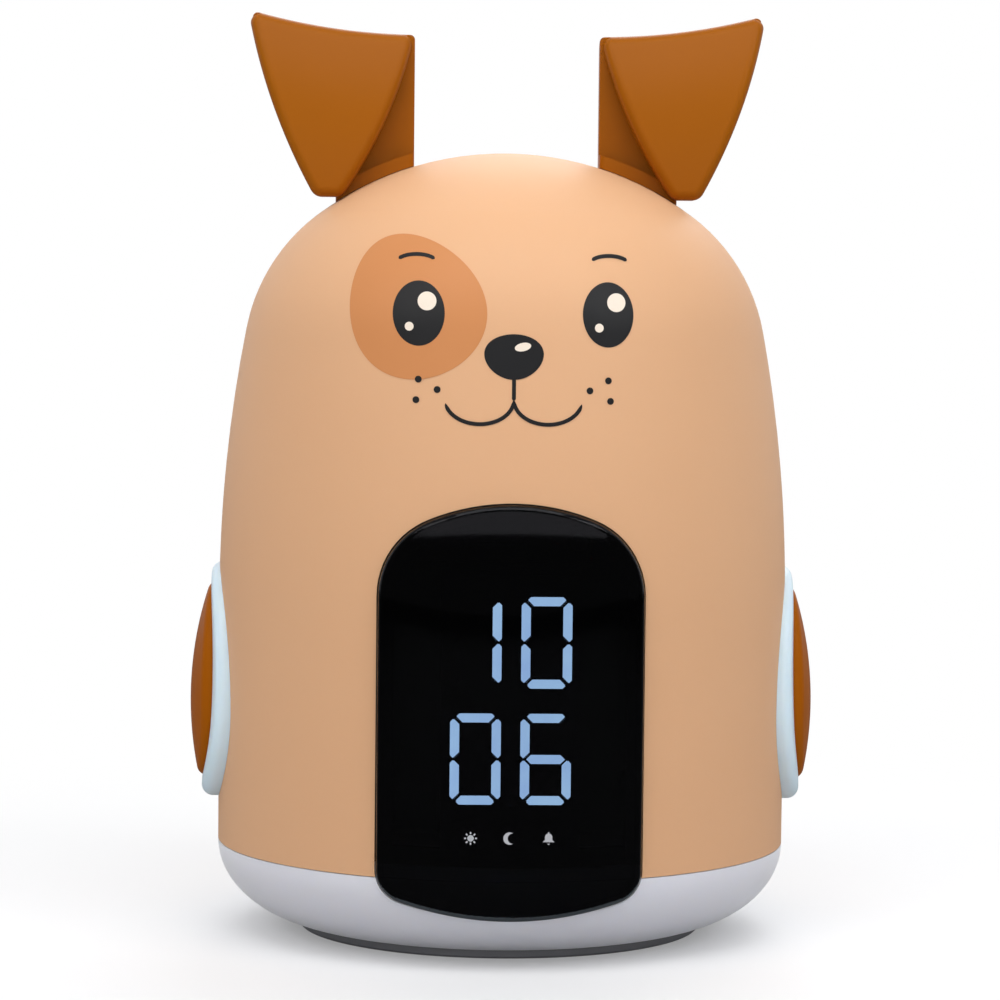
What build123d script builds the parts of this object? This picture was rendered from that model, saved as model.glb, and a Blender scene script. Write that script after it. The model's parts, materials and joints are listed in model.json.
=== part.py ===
from build123d import *
from math import asin, cos, degrees, radians, sin, sqrt, tan
import os

# Alarm clock with night light. Millimetres, +Z up, front faces -Y, origin on the floor under
# the middle of the base.

# Body: a solid of revolution with a straight side, a slightly bowed side, a shoulder and a crown
body_r = 55.0
dome_wall = 2.2
seam_z = 16.8
seam_gap = 0.15
straight_z = 64.0
side_bow_r = 275.0
side_bow_turn = 10.9
shoulder_r = 36.0
shoulder_turn = 53.7

# Night-light base under the seam
base_lift = 1.2
base_edge_w = 20.4
base_wall = 2.2
lip_h = 2.4
lip_t = 1.6
lip_gap = 0.15
foot_out = 0.8
foot_w = 3.8
foot_sunk = 1.0
foot_gap = 0.1
foot_edge = 0.4

# Display window and its frame
lens_w = 48.4
lens_top_z = 85.3
lens_low_z = 9.7
lens_top_r = 38.0
lens_low_r = 70.0
lens_top_corner = 15.0
lens_low_corner = 6.0
lens_proud = 2.0
lens_bow_r = 500.0
lens_t = 2.0
lens_rim_t = 1.6
lens_rim_depth = 3.4
lens_edge = 1.3
lens_gap = 0.25
lens_past = 6.0
frame_t = 2.0
frame_flange = 3.0
frame_band = 3.2
frame_inset = 0.5
fit_gap = 0.1
frame_post_run = 6.0
frame_pilot_l = 5.0

# Digits: two rows of two
digit_w = 9.1
digit_h = 16.6
segment_t = 1.65
segment_gap = 0.25
digit_pitch_x = 12.6
digit_pitch_z = 21.15
digits_mid_z = 49.7
legend_z = 24.7
legend_w = 3.0
legend_h = 2.4
legend_pitch = 7.0
block_w = 25.0
block_low_z = 22.6
block_top_z = 72.5
block_behind = 4.7
block_depth = 9.8
segment_depth = 1.2
display_board_w = 49.0
display_board_low_z = 24.0
display_board_top_z = 74.0
display_post_x = 22.4
display_post_low_z = 34.0
display_post_top_z = 64.0

# Side buttons and their light rings, egg-shaped seen from the side
pod_wide_z = 43.0
pod_half_w = 17.6
pod_up = 27.5
pod_down = 18.2
pod_proud = 2.5
pod_face_lean = 2.4
pod_ring_w = 3.6
pod_gap = 0.2
pod_edge = 2.2
pod_depth = 8.0
pod_web_t = 1.6
collar_t = 2.2
cap_gap = 0.3
cap_rise = 2.6
cap_h = 9.3
cap_crown_r = 70.0
cap_side_r = 32.0
cap_crown_z = 44.0
cap_wall = 1.8
cap_edge = 2.0
stem_z = 46.0
stem_r = 2.5
stem_gap = 0.1
stem_play = 1.5
stem_collar_r = 5.0
stem_collar_up = 8.4
side_switch_w = 6.0
side_switch_h = 3.5
side_plunger_r = 1.6
side_plunger_len = 2.8
side_switch_floor = 0.4
side_board_in = 13.5
side_board_w = 24.0
side_board_low_z = 28.0
side_board_top_z = 64.0
side_post_low_z = 31.5
side_post_top_z = 60.5
spring_r = 4.1
spring_wire = 0.35
spring_turns = 5
seat_gap = 0.05
cap_stem_sunk = 0.3
side_led_y = 8.0
side_led_low_z = 37.0
side_led_top_z = 55.0
side_plug_z = 40.0
side_lead_y = 8.0

# Folded ears
ear_x = 17.9
ear_fold_w = 32.3
ear_rise = 22.9
ear_fold_lean = 8.0
ear_tip_x = 34.4
ear_tip_drop = 8.8
ear_sheet = 4.0
ear_back_y = 4.5
ear_front_y = -8.0
ear_front_r = 70.0
ear_front_round_h = 1.9
ear_slot_h = 8.0
ear_slot_top_w = 1.7
ear_slot_low_w = 4.1
ear_fold_sag = 1.1
ear_edge = 1.8
ear_back_edge = 1.0
ear_tip_half = 2.6
ear_tip_corner = 2.4
ear_bow_in = 1.5
ear_bow_out = 1.7
ear_stub_x = 25.5
ear_stub_y = 1.4
ear_stub_r = 3.0
ear_stub_depth = 8.1
ear_boss_r = 5.0
ear_boss_h = 2.2
ear_peg_x = 31.0
ear_peg_r = 1.2
ear_peg_depth = 3.5
ear_past = 12.0
ear_facing_min = 0.05
ear_back_past = 8.0
ear_screw_len = 8.0
ear_pilot_l = 8.0
ear_foot_t = 2.4
ear_foot_x = 33.0
ear_foot_front_y = -2.4
ear_foot_corner = 1.2
ear_back_in = 3.0

# Rear panel, keys, slide switch, power inlet, loudspeaker
rear_w = 44.0
rear_low_z = 27.0
rear_top_z = 86.0
rear_corner = 9.0
rear_gap = 0.2
rear_flange = 3.0
rear_flange_t = 1.6
rear_flange_in = 1.6
key_x = 10.0
key_low_z = 65.5
key_top_z = 77.0
key_r = 4.0
key_gap = 0.1
key_proud = 1.6
key_flange_r = 4.9
key_flange_t = 0.9
key_play = 0.2
key_edge = 0.7
mat_t = 0.8
mat_dome_r = 3.6
mat_dome_h = 1.4
mat_edge = 0.6
mat_margin = 0.8
mat_corner = 1.5
rear_board_in = 9.0
rear_board_w = 40.0
rear_board_low_z = 28.0
rear_board_top_z = 83.0
rear_board_corner = 4.0
slider_x = 14.5
slider_z = 34.0
slider_w = 3.0
slider_h = 2.6
slider_travel = 3.0
slider_proud = 0.4
slider_gap = 0.2
slider_body_w = 8.6
slider_body_h = 4.2
slider_body_t = 3.0
slider_floor = 0.5
slider_play = 0.2
slider_edge = 0.4
inlet_x = -14.5
inlet_z = 33.0
inlet_w = 8.9
inlet_h = 3.3
inlet_l = 5.3
inlet_wall = 0.3
inlet_gap = 0.3
inlet_tongue_w = 6.4
inlet_tongue_t = 0.8
inlet_tongue_in = 0.5
speaker_z = 46.5
speaker_r = 12.1
speaker_collar_t = 1.2
speaker_gap = 0.2
speaker_h = 3.6
speaker_rim_t = 1.6
magnet_r = 6.5
magnet_t = 3.5
magnet_edge = 0.5
grille_hole_r = 0.8
grille_pitch = 2.6
grille_rings = 3
rear_pilot_l = 3.4
rear_cut = 15.0
rear_plug_z = 71.0
rear_post_places = [(0.0, 30.2), (-17.5, 71.3), (17.5, 71.3)]
speaker_lead_x = 10.0
speaker_tab_up = 0.5
speaker_tab_t = 0.8
speaker_tab_w = 4.8
speaker_tab_h = 3.0
speaker_back_t = 0.9
speaker_step_w = 1.2
speaker_step_t = 0.6
speaker_bore_r = 3.0
cone_edge_w = 1.3
cone_edge_t = 0.4
cone_t = 0.8
cone_hub_r = 3.4
cone_hub_y = 1.5
cone_crown = 0.6

# Chassis, boards and screws
chassis_t = 2.0
chassis_gap = 0.2
chassis_front_in = 15.0
chassis_front_w = 57.0
boss_ring_in = 8.0
boss_r = 3.0
boss_h = 12.0
board_t = 1.6
main_board_w = 58.0
main_board_d = 48.0
main_post_x = 25.0
main_post_y = 20.0
main_post_h = 5.0
post_r = 2.4
pilot_r = 0.85
screw_r = 0.8
screw_head_r = 1.8
screw_head_t = 1.1
screw_len = 4.4
big_pilot_r = 1.25
big_screw_r = 1.2
big_head_r = 2.4
big_head_t = 1.4
drive_l = 1.2
drive_w = 0.25
base_screw_len = 9.5
chassis_screw_len = 10.0
blind_floor = 1.0
board_corner = 2.0
hole_gap = 0.25
base_screw_x = 16.0
base_screw_y = 21.5
base_boss_r = 3.4
base_boss_h = 4.2
glow_out_in = 7.0
glow_drop = 3.2
glow_pin_r = 1.2
glow_pin_in = 7.0
glow_led_in = 3.0
glow_led_count = 12
glow_pin_turn = 22.0
led_size = 2.8
led_t = 1.2
glow_pin_sunk = 0.6

# Battery bay in the bottom plate
plate_edge = 0.6
plate_flange_t = 1.0
plate_flange_w = 3.0
plate_gap = 0.2
bay_l = 51.2
bay_w = 22.6
bay_wall = 1.6
bay_top_z = 14.5
door_l = 54.0
door_w = 25.4
door_t = 1.9
door_gap = 0.2
door_corner = 2.0
door_tab_x = 30.6
door_tab_w = 6.4
door_screw_x = 28.6
door_screw_len = 7.0
door_grip_l = 14.0
door_grip_w = 1.2
door_grip_t = 0.6
door_grip_pitch = 3.0
door_grip_count = 5
door_boss_r = 2.2
door_boss_top_z = 12.0
cell_r = 5.2
cell_l = 43.5
cell_nub_r = 1.9
cell_nub_l = 0.9
cell_pitch = 11.0
cell_z = 8.9
cell_shift = 1.4
contact_t = 0.4
cell_spring_r = 3.0
cell_spring_wire = 0.3
cell_spring_turns = 3

# Parts on the main board: place, size and height above the board
chip_place = (-6.0, -4.0)
chip_w = 10.0
chip_t = 1.6
can_places = [(10.0, -10.0), (10.0, 0.0)]
can_r = 3.0
can_h = 7.0
crystal_place = (-6.0, 9.0)
crystal_w = 8.0
crystal_d = 3.5
crystal_h = 3.0
coin_place = (11.0, 11.0)
coin_r = 5.0
coin_h = 2.6

# Leads
lead_r = 0.6
lead_pitch = 2.0
lead_gap = 0.3
ribbon_t = 0.3
ribbon_w = 12.0
plug_w = 5.0
plug_t = 3.0
plug_h = 4.5
bend_r = 2.0
lead_run = 3.0
lead_room = 2.0
lead_slot_w = 6.0
lead_slot_l = 8.0
display_plug_z = 40.0


def arc_end(centre, radius, turn):
    """Point on an arc about a centre, at an angle up from the level."""
    return (centre[0] + radius * cos(radians(turn)), centre[1] + radius * sin(radians(turn)))


bow_centre = (body_r - side_bow_r, straight_z)
bow_end = arc_end(bow_centre, side_bow_r, side_bow_turn)
shoulder_centre = arc_end(bow_end, -shoulder_r, side_bow_turn)
shoulder_end = arc_end(shoulder_centre, shoulder_r, shoulder_turn)
crown_r = shoulder_end[0] / cos(radians(shoulder_turn))
crown_z = shoulder_end[1] - crown_r * sin(radians(shoulder_turn))
apex_z = crown_z + crown_r

dome_low_z = seam_z + seam_gap
base_h = seam_z - base_lift
base_floor_z = base_lift + base_wall
base_flat_r = body_r - base_edge_w
chassis_low_z = seam_z + lip_h + chassis_gap
chassis_top_z = chassis_low_z + chassis_t
chassis_r = body_r - dome_wall - lip_gap * 2
main_board_z = chassis_top_z + main_post_h
main_top_z = main_board_z + board_t
glow_board_z = chassis_low_z - glow_drop - board_t
lens_front_r = body_r + lens_proud
lens_back_r = lens_front_r - lens_rim_depth
window_reach = lens_front_r + 5
panel_in_r = body_r - dome_wall
plug_z = main_top_z + plug_h / 2
foot_in_r = base_flat_r + foot_out
foot_out_r = foot_in_r + foot_w
plate_r = base_flat_r - plate_edge
plate_core_r = plate_r - plate_flange_w
block_front_y = lens_front_r - block_behind
display_board_y = block_front_y - block_depth
pod_face_x = body_r + pod_proud
pod_web_x = body_r - pod_depth
cap_back_x = pod_web_x + pod_web_t + cap_rise
cap_top_x = cap_back_x + cap_h
stem_collar_x = pod_web_x + pod_web_t + stem_collar_up
side_board_x = body_r - side_board_in
ear_fold_z = apex_z + ear_rise
ear_tip_z = apex_z - ear_tip_drop
ear_split_y = ear_back_y - ear_sheet
ear_stub_low_z = crown_z + sqrt(crown_r**2 - ear_stub_x**2) - ear_stub_depth
ear_boss_low_z = ear_stub_low_z - ear_boss_h
ear_peg_low_z = crown_z + sqrt(crown_r**2 - ear_peg_x**2) - ear_peg_depth
rear_board_y = body_r - rear_board_in
key_flange_y = rear_board_y + mat_t + mat_dome_h + key_play
key_tip_y = body_r + key_proud
slider_tip_y = body_r + slider_proud
inlet_front_y = rear_board_y + inlet_l
speaker_back_y = rear_board_y
speaker_rim_y = speaker_back_y + speaker_h
speaker_tab_y = speaker_back_y + speaker_tab_up
boss_ring_r = body_r - boss_ring_in
chassis_front_y = body_r - chassis_front_in
battery_rise_x = max(main_board_w / 2, bay_l / 2 + bay_wall) + lead_run
glow_in_r = battery_rise_x + lead_room
glow_rise_x = glow_in_r + lead_room
glow_out_r = body_r - glow_out_in
glow_pin_ring_r = glow_out_r - glow_pin_in
glow_led_ring_r = glow_out_r - glow_led_in
side_plug_x = main_board_w / 2 - plug_t


# ---------------------------------------------------------------- shared shapes

def body_solid(inset, low):
    """The dome's outer form drawn in by inset, solid, from the height low up."""
    with BuildPart() as solid:
        with BuildSketch(Plane.XZ):
            with BuildLine():
                Line((0, apex_z - inset), (0, low))
                Line((0, low), (body_r - inset, low))
                Line((body_r - inset, low), (body_r - inset, straight_z))
                CenterArc(bow_centre, side_bow_r - inset, 0, side_bow_turn)
                CenterArc(shoulder_centre, shoulder_r - inset, side_bow_turn, shoulder_turn - side_bow_turn)
                CenterArc((0, crown_z), crown_r - inset, shoulder_turn, 90 - shoulder_turn)
            make_face()
        revolve(axis=Axis.Z)
    return solid.part


def body_layer(outer_inset, inner_inset, low):
    """A shell between two insets of the dome's outer form."""
    with BuildPart() as layer:
        add(body_solid(outer_inset, low))
        add(body_solid(inner_inset, low - 1), mode=Mode.SUBTRACT)
    return layer.part


def tube_solid(radius, hole_r, low, high):
    """An upright tube about the body's axis; a disc where hole_r is 0."""
    with BuildPart() as tube:
        with BuildSketch(Plane.XY.offset(low)):
            Circle(radius)
            if hole_r:
                Circle(hole_r, mode=Mode.SUBTRACT)
        extrude(amount=high - low)
    return tube.part


def window_prism(grow):
    """Prism of the display window's outline, grown all round, from the body's axis forward."""
    half_w = lens_w / 2
    side_top_z = lens_top_z - (lens_top_r - sqrt(lens_top_r**2 - half_w**2))
    side_low_z = lens_low_z + (lens_low_r - sqrt(lens_low_r**2 - half_w**2))
    with BuildPart() as prism:
        with BuildSketch(Plane.XZ):
            with BuildLine():
                ThreePointArc((-half_w, side_top_z), (0, lens_top_z), (half_w, side_top_z))
                Line((half_w, side_top_z), (half_w, side_low_z))
                ThreePointArc((half_w, side_low_z), (0, lens_low_z), (-half_w, side_low_z))
                Line((-half_w, side_low_z), (-half_w, side_top_z))
            make_face()
            fillet(vertices().sort_by(Axis.Y)[-2:], radius=lens_top_corner)
            fillet(vertices().sort_by(Axis.Y)[:2], radius=lens_low_corner)
            if grow:
                offset(amount=grow)
        extrude(amount=window_reach)
    return prism.part


def pod_prism(grow, low_x, high_x, side=1):
    """Prism of the side button's egg outline, grown all round, between two distances along X."""
    base = Plane(origin=(side * low_x, 0, 0), x_dir=(0, side, 0), z_dir=(side, 0, 0))
    with BuildPart() as prism:
        with BuildSketch(base):
            with BuildLine():
                EllipticalCenterArc((0, pod_wide_z), pod_half_w + grow, pod_up + grow, 0, arc_size=180)
                EllipticalCenterArc((0, pod_wide_z), pod_half_w + grow, pod_down + grow, 180, arc_size=180)
            make_face()
        extrude(amount=high_x - low_x)
    return prism.part


def rear_prism(grow):
    """Prism of the rear panel's outline, grown all round, from the body's axis back."""
    with BuildPart() as prism:
        with BuildSketch(Plane.XZ):
            with Locations((0, (rear_low_z + rear_top_z) / 2)):
                height = rear_top_z - rear_low_z + 2 * grow
                RectangleRounded(rear_w + 2 * grow, height, rear_corner + grow)
        extrude(amount=-window_reach)
    return prism.part


def rod(centre, direction, radius, length):
    """A plain round rod from a centre along a direction."""
    with BuildPart() as solid:
        with BuildSketch(Plane(origin=centre, z_dir=direction)):
            Circle(radius)
        extrude(amount=length)
    return solid.part


def screw_solid(seat, direction, shank_r, shank_len, head_r, head_t):
    """A pan-head screw whose head sits on seat and whose shank runs along direction."""
    back = tuple(-value for value in direction)
    with BuildPart() as screw:
        add(rod(seat, direction, shank_r, shank_len))
        add(rod(seat, back, head_r, head_t))
        with BuildSketch(Plane(origin=tuple(s + b * head_t for s, b in zip(seat, back)), z_dir=direction)):
            Rectangle(head_r * drive_l, head_r * drive_w)
            Rectangle(head_r * drive_w, head_r * drive_l)
        extrude(amount=head_t / 2, mode=Mode.SUBTRACT)
    return screw.part


def coil_solid(start, direction, radius, wire_r, length, turns):
    """A coil spring of round wire from start along direction."""
    pitch = (length - 2 * wire_r) / turns
    foot = Vector(*start) + Vector(*direction) * wire_r
    with BuildPart() as coil:
        with BuildLine() as path:
            Helix(pitch=pitch, height=pitch * turns, radius=radius, center=foot, direction=direction)
        with BuildSketch(Plane(origin=path.line @ 0, z_dir=path.line % 0)):
            Circle(wire_r)
        sweep(is_frenet=True)
    return coil.part


def lead_solid(points):
    """A round insulated wire through the points, its corners rounded."""
    with BuildPart() as lead:
        with BuildLine() as path:
            FilletPolyline(*points, radius=bend_r)
        with BuildSketch(Plane(origin=path.line @ 0, z_dir=path.line % 0)):
            Circle(lead_r)
        sweep()
    return lead.part


def mirrored(piece):
    """The same piece for the other side of the body."""
    with BuildPart() as other:
        add(piece.part)
        mirror(about=Plane.YZ, mode=Mode.REPLACE)
    return other


# ---------------------------------------------------------------- dome and ears

def ear_root(radius, low, side):
    """Upright rod through the dome's wall under an ear's stub."""
    return rod((side * ear_stub_x, ear_stub_y, low), (0, 0, 1), radius, apex_z - low)


def dome_mounts():
    """Screw bosses, button collars and ear bosses, kept inside the middle of the wall."""
    tools = []
    for side in (-1, 1):
        collar = pod_prism(pod_gap + collar_t, pod_web_x + pod_web_t + fit_gap, body_r, side)
        tools.append(collar - pod_prism(pod_gap, pod_web_x, body_r + 1, side))
        tools.append(ear_root(ear_boss_r, ear_boss_low_z, side))
    limit = body_solid(dome_wall / 2, dome_low_z)
    with BuildPart() as mounts:
        with BuildSketch(Plane.XY.offset(chassis_top_z)):
            with PolarLocations(0, 4, start_angle=45):
                with Locations((boss_ring_r, 0)):
                    Circle(boss_r)
                with Locations((boss_ring_r + boss_r, 0)):
                    Rectangle(2 * boss_r, boss_r)
        extrude(amount=boss_h)
        for tool in tools:
            add(tool)
        add(limit, mode=Mode.INTERSECT)
    return mounts.part


def dome_shell():
    shell = body_layer(0, dome_wall, dome_low_z)
    mounts = dome_mounts()
    cuts = [window_prism(lens_gap), rear_prism(0)]
    for side in (-1, 1):
        cuts.append(pod_prism(pod_gap, pod_web_x, window_reach, side))
        cuts.append(ear_root(ear_stub_r + fit_gap, ear_stub_low_z - fit_gap, side))
        cuts.append(ear_root(screw_r + hole_gap, ear_boss_low_z - 1, side))
        peg_foot = (side * ear_peg_x, ear_stub_y, ear_peg_low_z - 3)
        cuts.append(rod(peg_foot, (0, 0, 1), ear_peg_r + fit_gap, apex_z - ear_peg_low_z))
    with BuildPart() as dome:
        add(shell)
        add(mounts)
        with BuildSketch(Plane.XY.offset(chassis_top_z)):
            with PolarLocations(boss_ring_r, 4, start_angle=45):
                Circle(big_pilot_r)
        extrude(amount=boss_h - blind_floor, mode=Mode.SUBTRACT)
        for tool in cuts:
            add(tool, mode=Mode.SUBTRACT)
    return dome


def ear_outline_prism(inner, outer, tip_corner, low_y, high_y):
    """Prism along Y of a three-cornered outline; a side of three points is an arc, of two a line."""
    with BuildPart() as prism:
        with BuildSketch(Plane.XZ.offset(-high_y)):
            with BuildLine():
                Line(inner[0], outer[0])
                for side in (outer, inner):
                    if len(side) == 3:
                        ThreePointArc(*side)
                    else:
                        Line(*side)
                Line(outer[-1], inner[-1])
            make_face()
            if tip_corner:
                fillet(vertices().sort_by(Axis.Y)[:2], radius=tip_corner)
        extrude(amount=high_y - low_y)
    return prism.part


def ear_folded_sheet():
    """The sheet folded over its sagging top edge, running on past both sides of the ear."""
    tip_h = ear_fold_z - ear_tip_z
    depth = tip_h + ear_past
    front_middle_y = ear_front_y + ear_front_r
    slot_back_y = ear_back_y - ear_sheet
    slot_front_y = slot_back_y - ear_slot_top_w
    rise = tip_h - ear_front_round_h
    top_run = sqrt(ear_front_r**2 - rise**2)
    top_front = (front_middle_y - top_run, -ear_front_round_h)
    low_front = (front_middle_y - sqrt(ear_front_r**2 - ear_past**2), -depth)
    round_r = (ear_back_y - top_front[0]) / (1 + top_run / ear_front_r)
    top_back = (ear_back_y, -ear_front_round_h - round_r * rise / ear_front_r)
    slot_crown = ((slot_back_y + slot_front_y) / 2, -ear_slot_h + ear_slot_top_w / 2)
    lean = radians(ear_fold_lean)
    along = Vector(cos(lean), 0, sin(lean))
    up = Vector(-sin(lean), 0, cos(lean))
    fold_l = ear_fold_w / cos(lean)
    fold_r = fold_l**2 / (8 * ear_fold_sag) + ear_fold_sag / 2
    centre = Vector(ear_x, 0, ear_fold_z) + along * (fold_l / 2) + up * (fold_r - ear_fold_sag)
    turn = asin(fold_l / 2 / fold_r) + ear_past / 2 / fold_r
    start = centre - along * (fold_r * sin(turn)) - up * (fold_r * cos(turn))
    heading = along * cos(turn) - up * sin(turn)
    with BuildPart() as sheet:
        with BuildSketch(Plane(origin=start, x_dir=(0, 1, 0), z_dir=heading)):
            with BuildLine():
                ThreePointArc(low_front, (ear_front_y, -tip_h), top_front)
                TangentArc(top_front, top_back, tangent=(rise / top_run, 1))
                Polyline(top_back, (ear_back_y, -depth), (slot_back_y, -depth), (slot_back_y, -ear_slot_h))
                ThreePointArc((slot_back_y, -ear_slot_h), slot_crown, (slot_front_y, -ear_slot_h))
                Polyline((slot_front_y, -ear_slot_h), (slot_back_y - ear_slot_low_w, -depth), low_front)
            make_face()
        revolve(axis=Axis(centre, (0, -1, 0)), revolution_arc=2 * degrees(turn))
    return sheet.part


def soft_ear_half(half, facing, radius):
    """One half of the split ear with the rim of its outer faces rounded, off the split and the foot."""
    with BuildPart() as soft:
        add(half)
        outer = [face for face in faces() if facing * face.normal_at().Y > ear_facing_min]
        shared = [edge for face in outer for edge in face.edges()]
        rim = []
        for edge in shared:
            middle = edge @ 0.5
            twin = sum((other @ 0.5 - middle).length < fit_gap for other in shared) > 1
            on_split = abs(middle.Y - ear_split_y) < fit_gap
            if not twin and not on_split and middle.Z > ear_tip_z - 2 * radius:
                rim.append(edge)
        fillet(rim, radius=radius)
    return soft.part


def ear_foot():
    """Pad that carries the back sheet on the crown and covers the stub's hole."""
    middle = ((ear_x + ear_foot_x) / 2, (ear_foot_front_y + ear_back_y) / 2)
    with BuildPart() as foot:
        with BuildSketch(Plane.XY.offset(crown_z)):
            with Locations(middle):
                RectangleRounded(ear_foot_x - ear_x, ear_back_y - ear_foot_front_y, ear_foot_corner)
        extrude(amount=2 * crown_r)
        add(body_solid(-fit_gap - ear_foot_t, dome_low_z), mode=Mode.INTERSECT)
    return foot.part


def ear_right():
    """Ear on the +X side: back sheet stands on the crown, front sheet folds down to a tip."""
    out_x = ear_x + ear_fold_w
    out_z = ear_fold_z + ear_fold_w * tan(radians(ear_fold_lean))
    tip_in_x = ear_tip_x - ear_tip_half
    tip_out_x = ear_tip_x + ear_tip_half
    middle_z = (ear_fold_z + ear_tip_z) / 2
    flap_in = (
        (ear_x, ear_fold_z),
        ((ear_x + tip_in_x) / 2 - ear_bow_in, middle_z - ear_bow_in / 2),
        (tip_in_x, ear_tip_z),
    )
    flap_out = (
        (out_x, out_z),
        ((out_x + tip_out_x) / 2 + ear_bow_out, (out_z + ear_tip_z) / 2),
        (tip_out_x, ear_tip_z),
    )
    back_in = ((ear_x, ear_fold_z), (ear_x, crown_z))
    back_out = ((out_x, out_z), (tip_in_x - ear_back_in, ear_tip_z - ear_back_past))
    sheet = ear_folded_sheet()
    flap = sheet & ear_outline_prism(flap_in, flap_out, ear_tip_corner, -body_r, ear_split_y)
    back = sheet & ear_outline_prism(back_in, back_out, 0, ear_split_y, body_r)
    dome = body_solid(-fit_gap, dome_low_z)
    pad_middle = body_solid(-fit_gap - ear_foot_t / 2, dome_low_z)
    root_l = 2 * crown_r
    stub_foot = (ear_stub_x, ear_stub_y, ear_stub_low_z)
    peg_foot = (ear_peg_x, ear_stub_y, ear_peg_low_z)
    with BuildPart() as ear:
        add(soft_ear_half(flap, -1, ear_edge))
        add(soft_ear_half(back, 1, ear_back_edge))
        add(ear_foot())
        add(dome, mode=Mode.SUBTRACT)
        add(rod(stub_foot, (0, 0, 1), ear_stub_r, root_l) & pad_middle)
        add(rod(peg_foot, (0, 0, 1), ear_peg_r, root_l) & pad_middle)
        add(rod(stub_foot, (0, 0, 1), pilot_r, ear_pilot_l), mode=Mode.SUBTRACT)
    return ear


def ear_screws():
    with BuildPart() as screws:
        for side in (-1, 1):
            seat = (side * ear_stub_x, ear_stub_y, ear_boss_low_z)
            add(screw_solid(seat, (0, 0, 1), screw_r, ear_screw_len, screw_head_r, screw_head_t))
    return screws


# ---------------------------------------------------------------- base and battery bay

def base_bowl(inset, hole_r):
    """Solid under the seam inside the bowl's rounded form drawn in by inset, round a hole."""
    edge_w = base_edge_w - inset
    edge_h = base_h - inset
    with BuildPart() as solid:
        with BuildSketch(Plane.XZ):
            with BuildLine():
                Line((hole_r, seam_z), (body_r - inset, seam_z))
                EllipticalCenterArc((base_flat_r, seam_z), edge_w, edge_h, 0, arc_size=-90)
                Line((base_flat_r, seam_z - edge_h), (hole_r, seam_z - edge_h))
                Line((hole_r, seam_z - edge_h), (hole_r, seam_z))
            make_face()
        revolve(axis=Axis.Z)
    return solid.part


def base_diffuser():
    """Translucent bowl with a lip that centres it in the dome."""
    outer = base_bowl(0, plate_core_r + plate_gap)
    inner = base_bowl(base_wall, plate_core_r - 1)
    lip_r = panel_in_r - lip_gap
    lip = tube_solid(lip_r, lip_r - lip_t, seam_z - lip_h, seam_z + lip_h)
    lip_root = tube_solid(body_r - base_wall / 2, lip_r - lip_t, seam_z - lip_h, seam_z)
    plate_recess = tube_solid(plate_r + plate_gap, 0, 0, base_lift + plate_flange_t)
    foot_groove = tube_solid(foot_out_r + foot_gap, foot_in_r - foot_gap, 0, base_lift + foot_sunk)
    window_notch = window_prism(lens_gap) & tube_solid(window_reach, lens_back_r - fit_gap, 0, seam_z)
    with BuildPart() as bowl:
        add(outer)
        add(inner, mode=Mode.SUBTRACT)
        add(lip)
        add(lip_root)
        for tool in (plate_recess, foot_groove, window_notch):
            add(tool, mode=Mode.SUBTRACT)
    return bowl


def foot_ring():
    ring = tube_solid(foot_out_r, foot_in_r, 0, base_lift + foot_sunk)
    with BuildPart() as foot:
        add(ring)
        chamfer(edges().group_by(Axis.Z)[0], length=foot_edge)
    return foot


def bottom_plate():
    """Plate with the battery bay, the base screws' bosses and the door's recess."""
    with BuildPart() as plate:
        with BuildSketch(Plane.XY.offset(base_lift)):
            Circle(plate_r)
        extrude(amount=plate_flange_t)
        with BuildSketch(Plane.XY.offset(base_lift)):
            Circle(plate_core_r)
        extrude(amount=base_wall)
        with BuildSketch(Plane.XY.offset(base_floor_z - 0.5)):
            Rectangle(bay_l + 2 * bay_wall, bay_w + 2 * bay_wall)
        extrude(amount=bay_top_z + bay_wall - base_floor_z + 0.5)
        with BuildSketch(Plane.XY.offset(base_lift)):
            with GridLocations(2 * base_screw_x, 2 * base_screw_y, 2, 2):
                Circle(base_boss_r)
        extrude(amount=base_boss_h)
        with BuildSketch(Plane.XY.offset(base_floor_z - 0.5)):
            with Locations((door_screw_x, 0)):
                Circle(door_boss_r)
        extrude(amount=door_boss_top_z - base_floor_z + 0.5)
        with BuildSketch(Plane.XY.offset(base_lift)):
            with GridLocations(2 * base_screw_x, 2 * base_screw_y, 2, 2):
                Circle(big_screw_r + hole_gap)
        extrude(amount=base_boss_h, mode=Mode.SUBTRACT)
        with BuildSketch(Plane.XY.offset(base_lift)):
            with GridLocations(2 * base_screw_x, 2 * base_screw_y, 2, 2):
                Circle(big_head_r + hole_gap)
        extrude(amount=base_wall, mode=Mode.SUBTRACT)
        with BuildSketch(Plane.XY.offset(base_lift)):
            RectangleRounded(door_l + 2 * door_gap, door_w + 2 * door_gap, door_corner)
            with Locations(((door_tab_x + door_gap) / 2, 0)):
                Rectangle(door_tab_x + door_gap, door_tab_w + 2 * door_gap)
        extrude(amount=door_t + fit_gap, mode=Mode.SUBTRACT)
        with BuildSketch(Plane.XY.offset(base_lift)):
            Rectangle(bay_l, bay_w)
        extrude(amount=bay_top_z - base_lift, mode=Mode.SUBTRACT)
        with BuildSketch(Plane.XY.offset(base_lift)):
            with Locations((door_screw_x, 0)):
                Circle(pilot_r)
        extrude(amount=door_boss_top_z - base_lift - blind_floor, mode=Mode.SUBTRACT)
        with BuildSketch(Plane.YZ.offset(-bay_l / 2)):
            with Locations((0, door_boss_top_z - 1)):
                Rectangle(2 * lead_pitch, 2 * (lead_r + lead_gap))
        extrude(amount=-2 * bay_wall, mode=Mode.SUBTRACT)
    return plate


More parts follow.
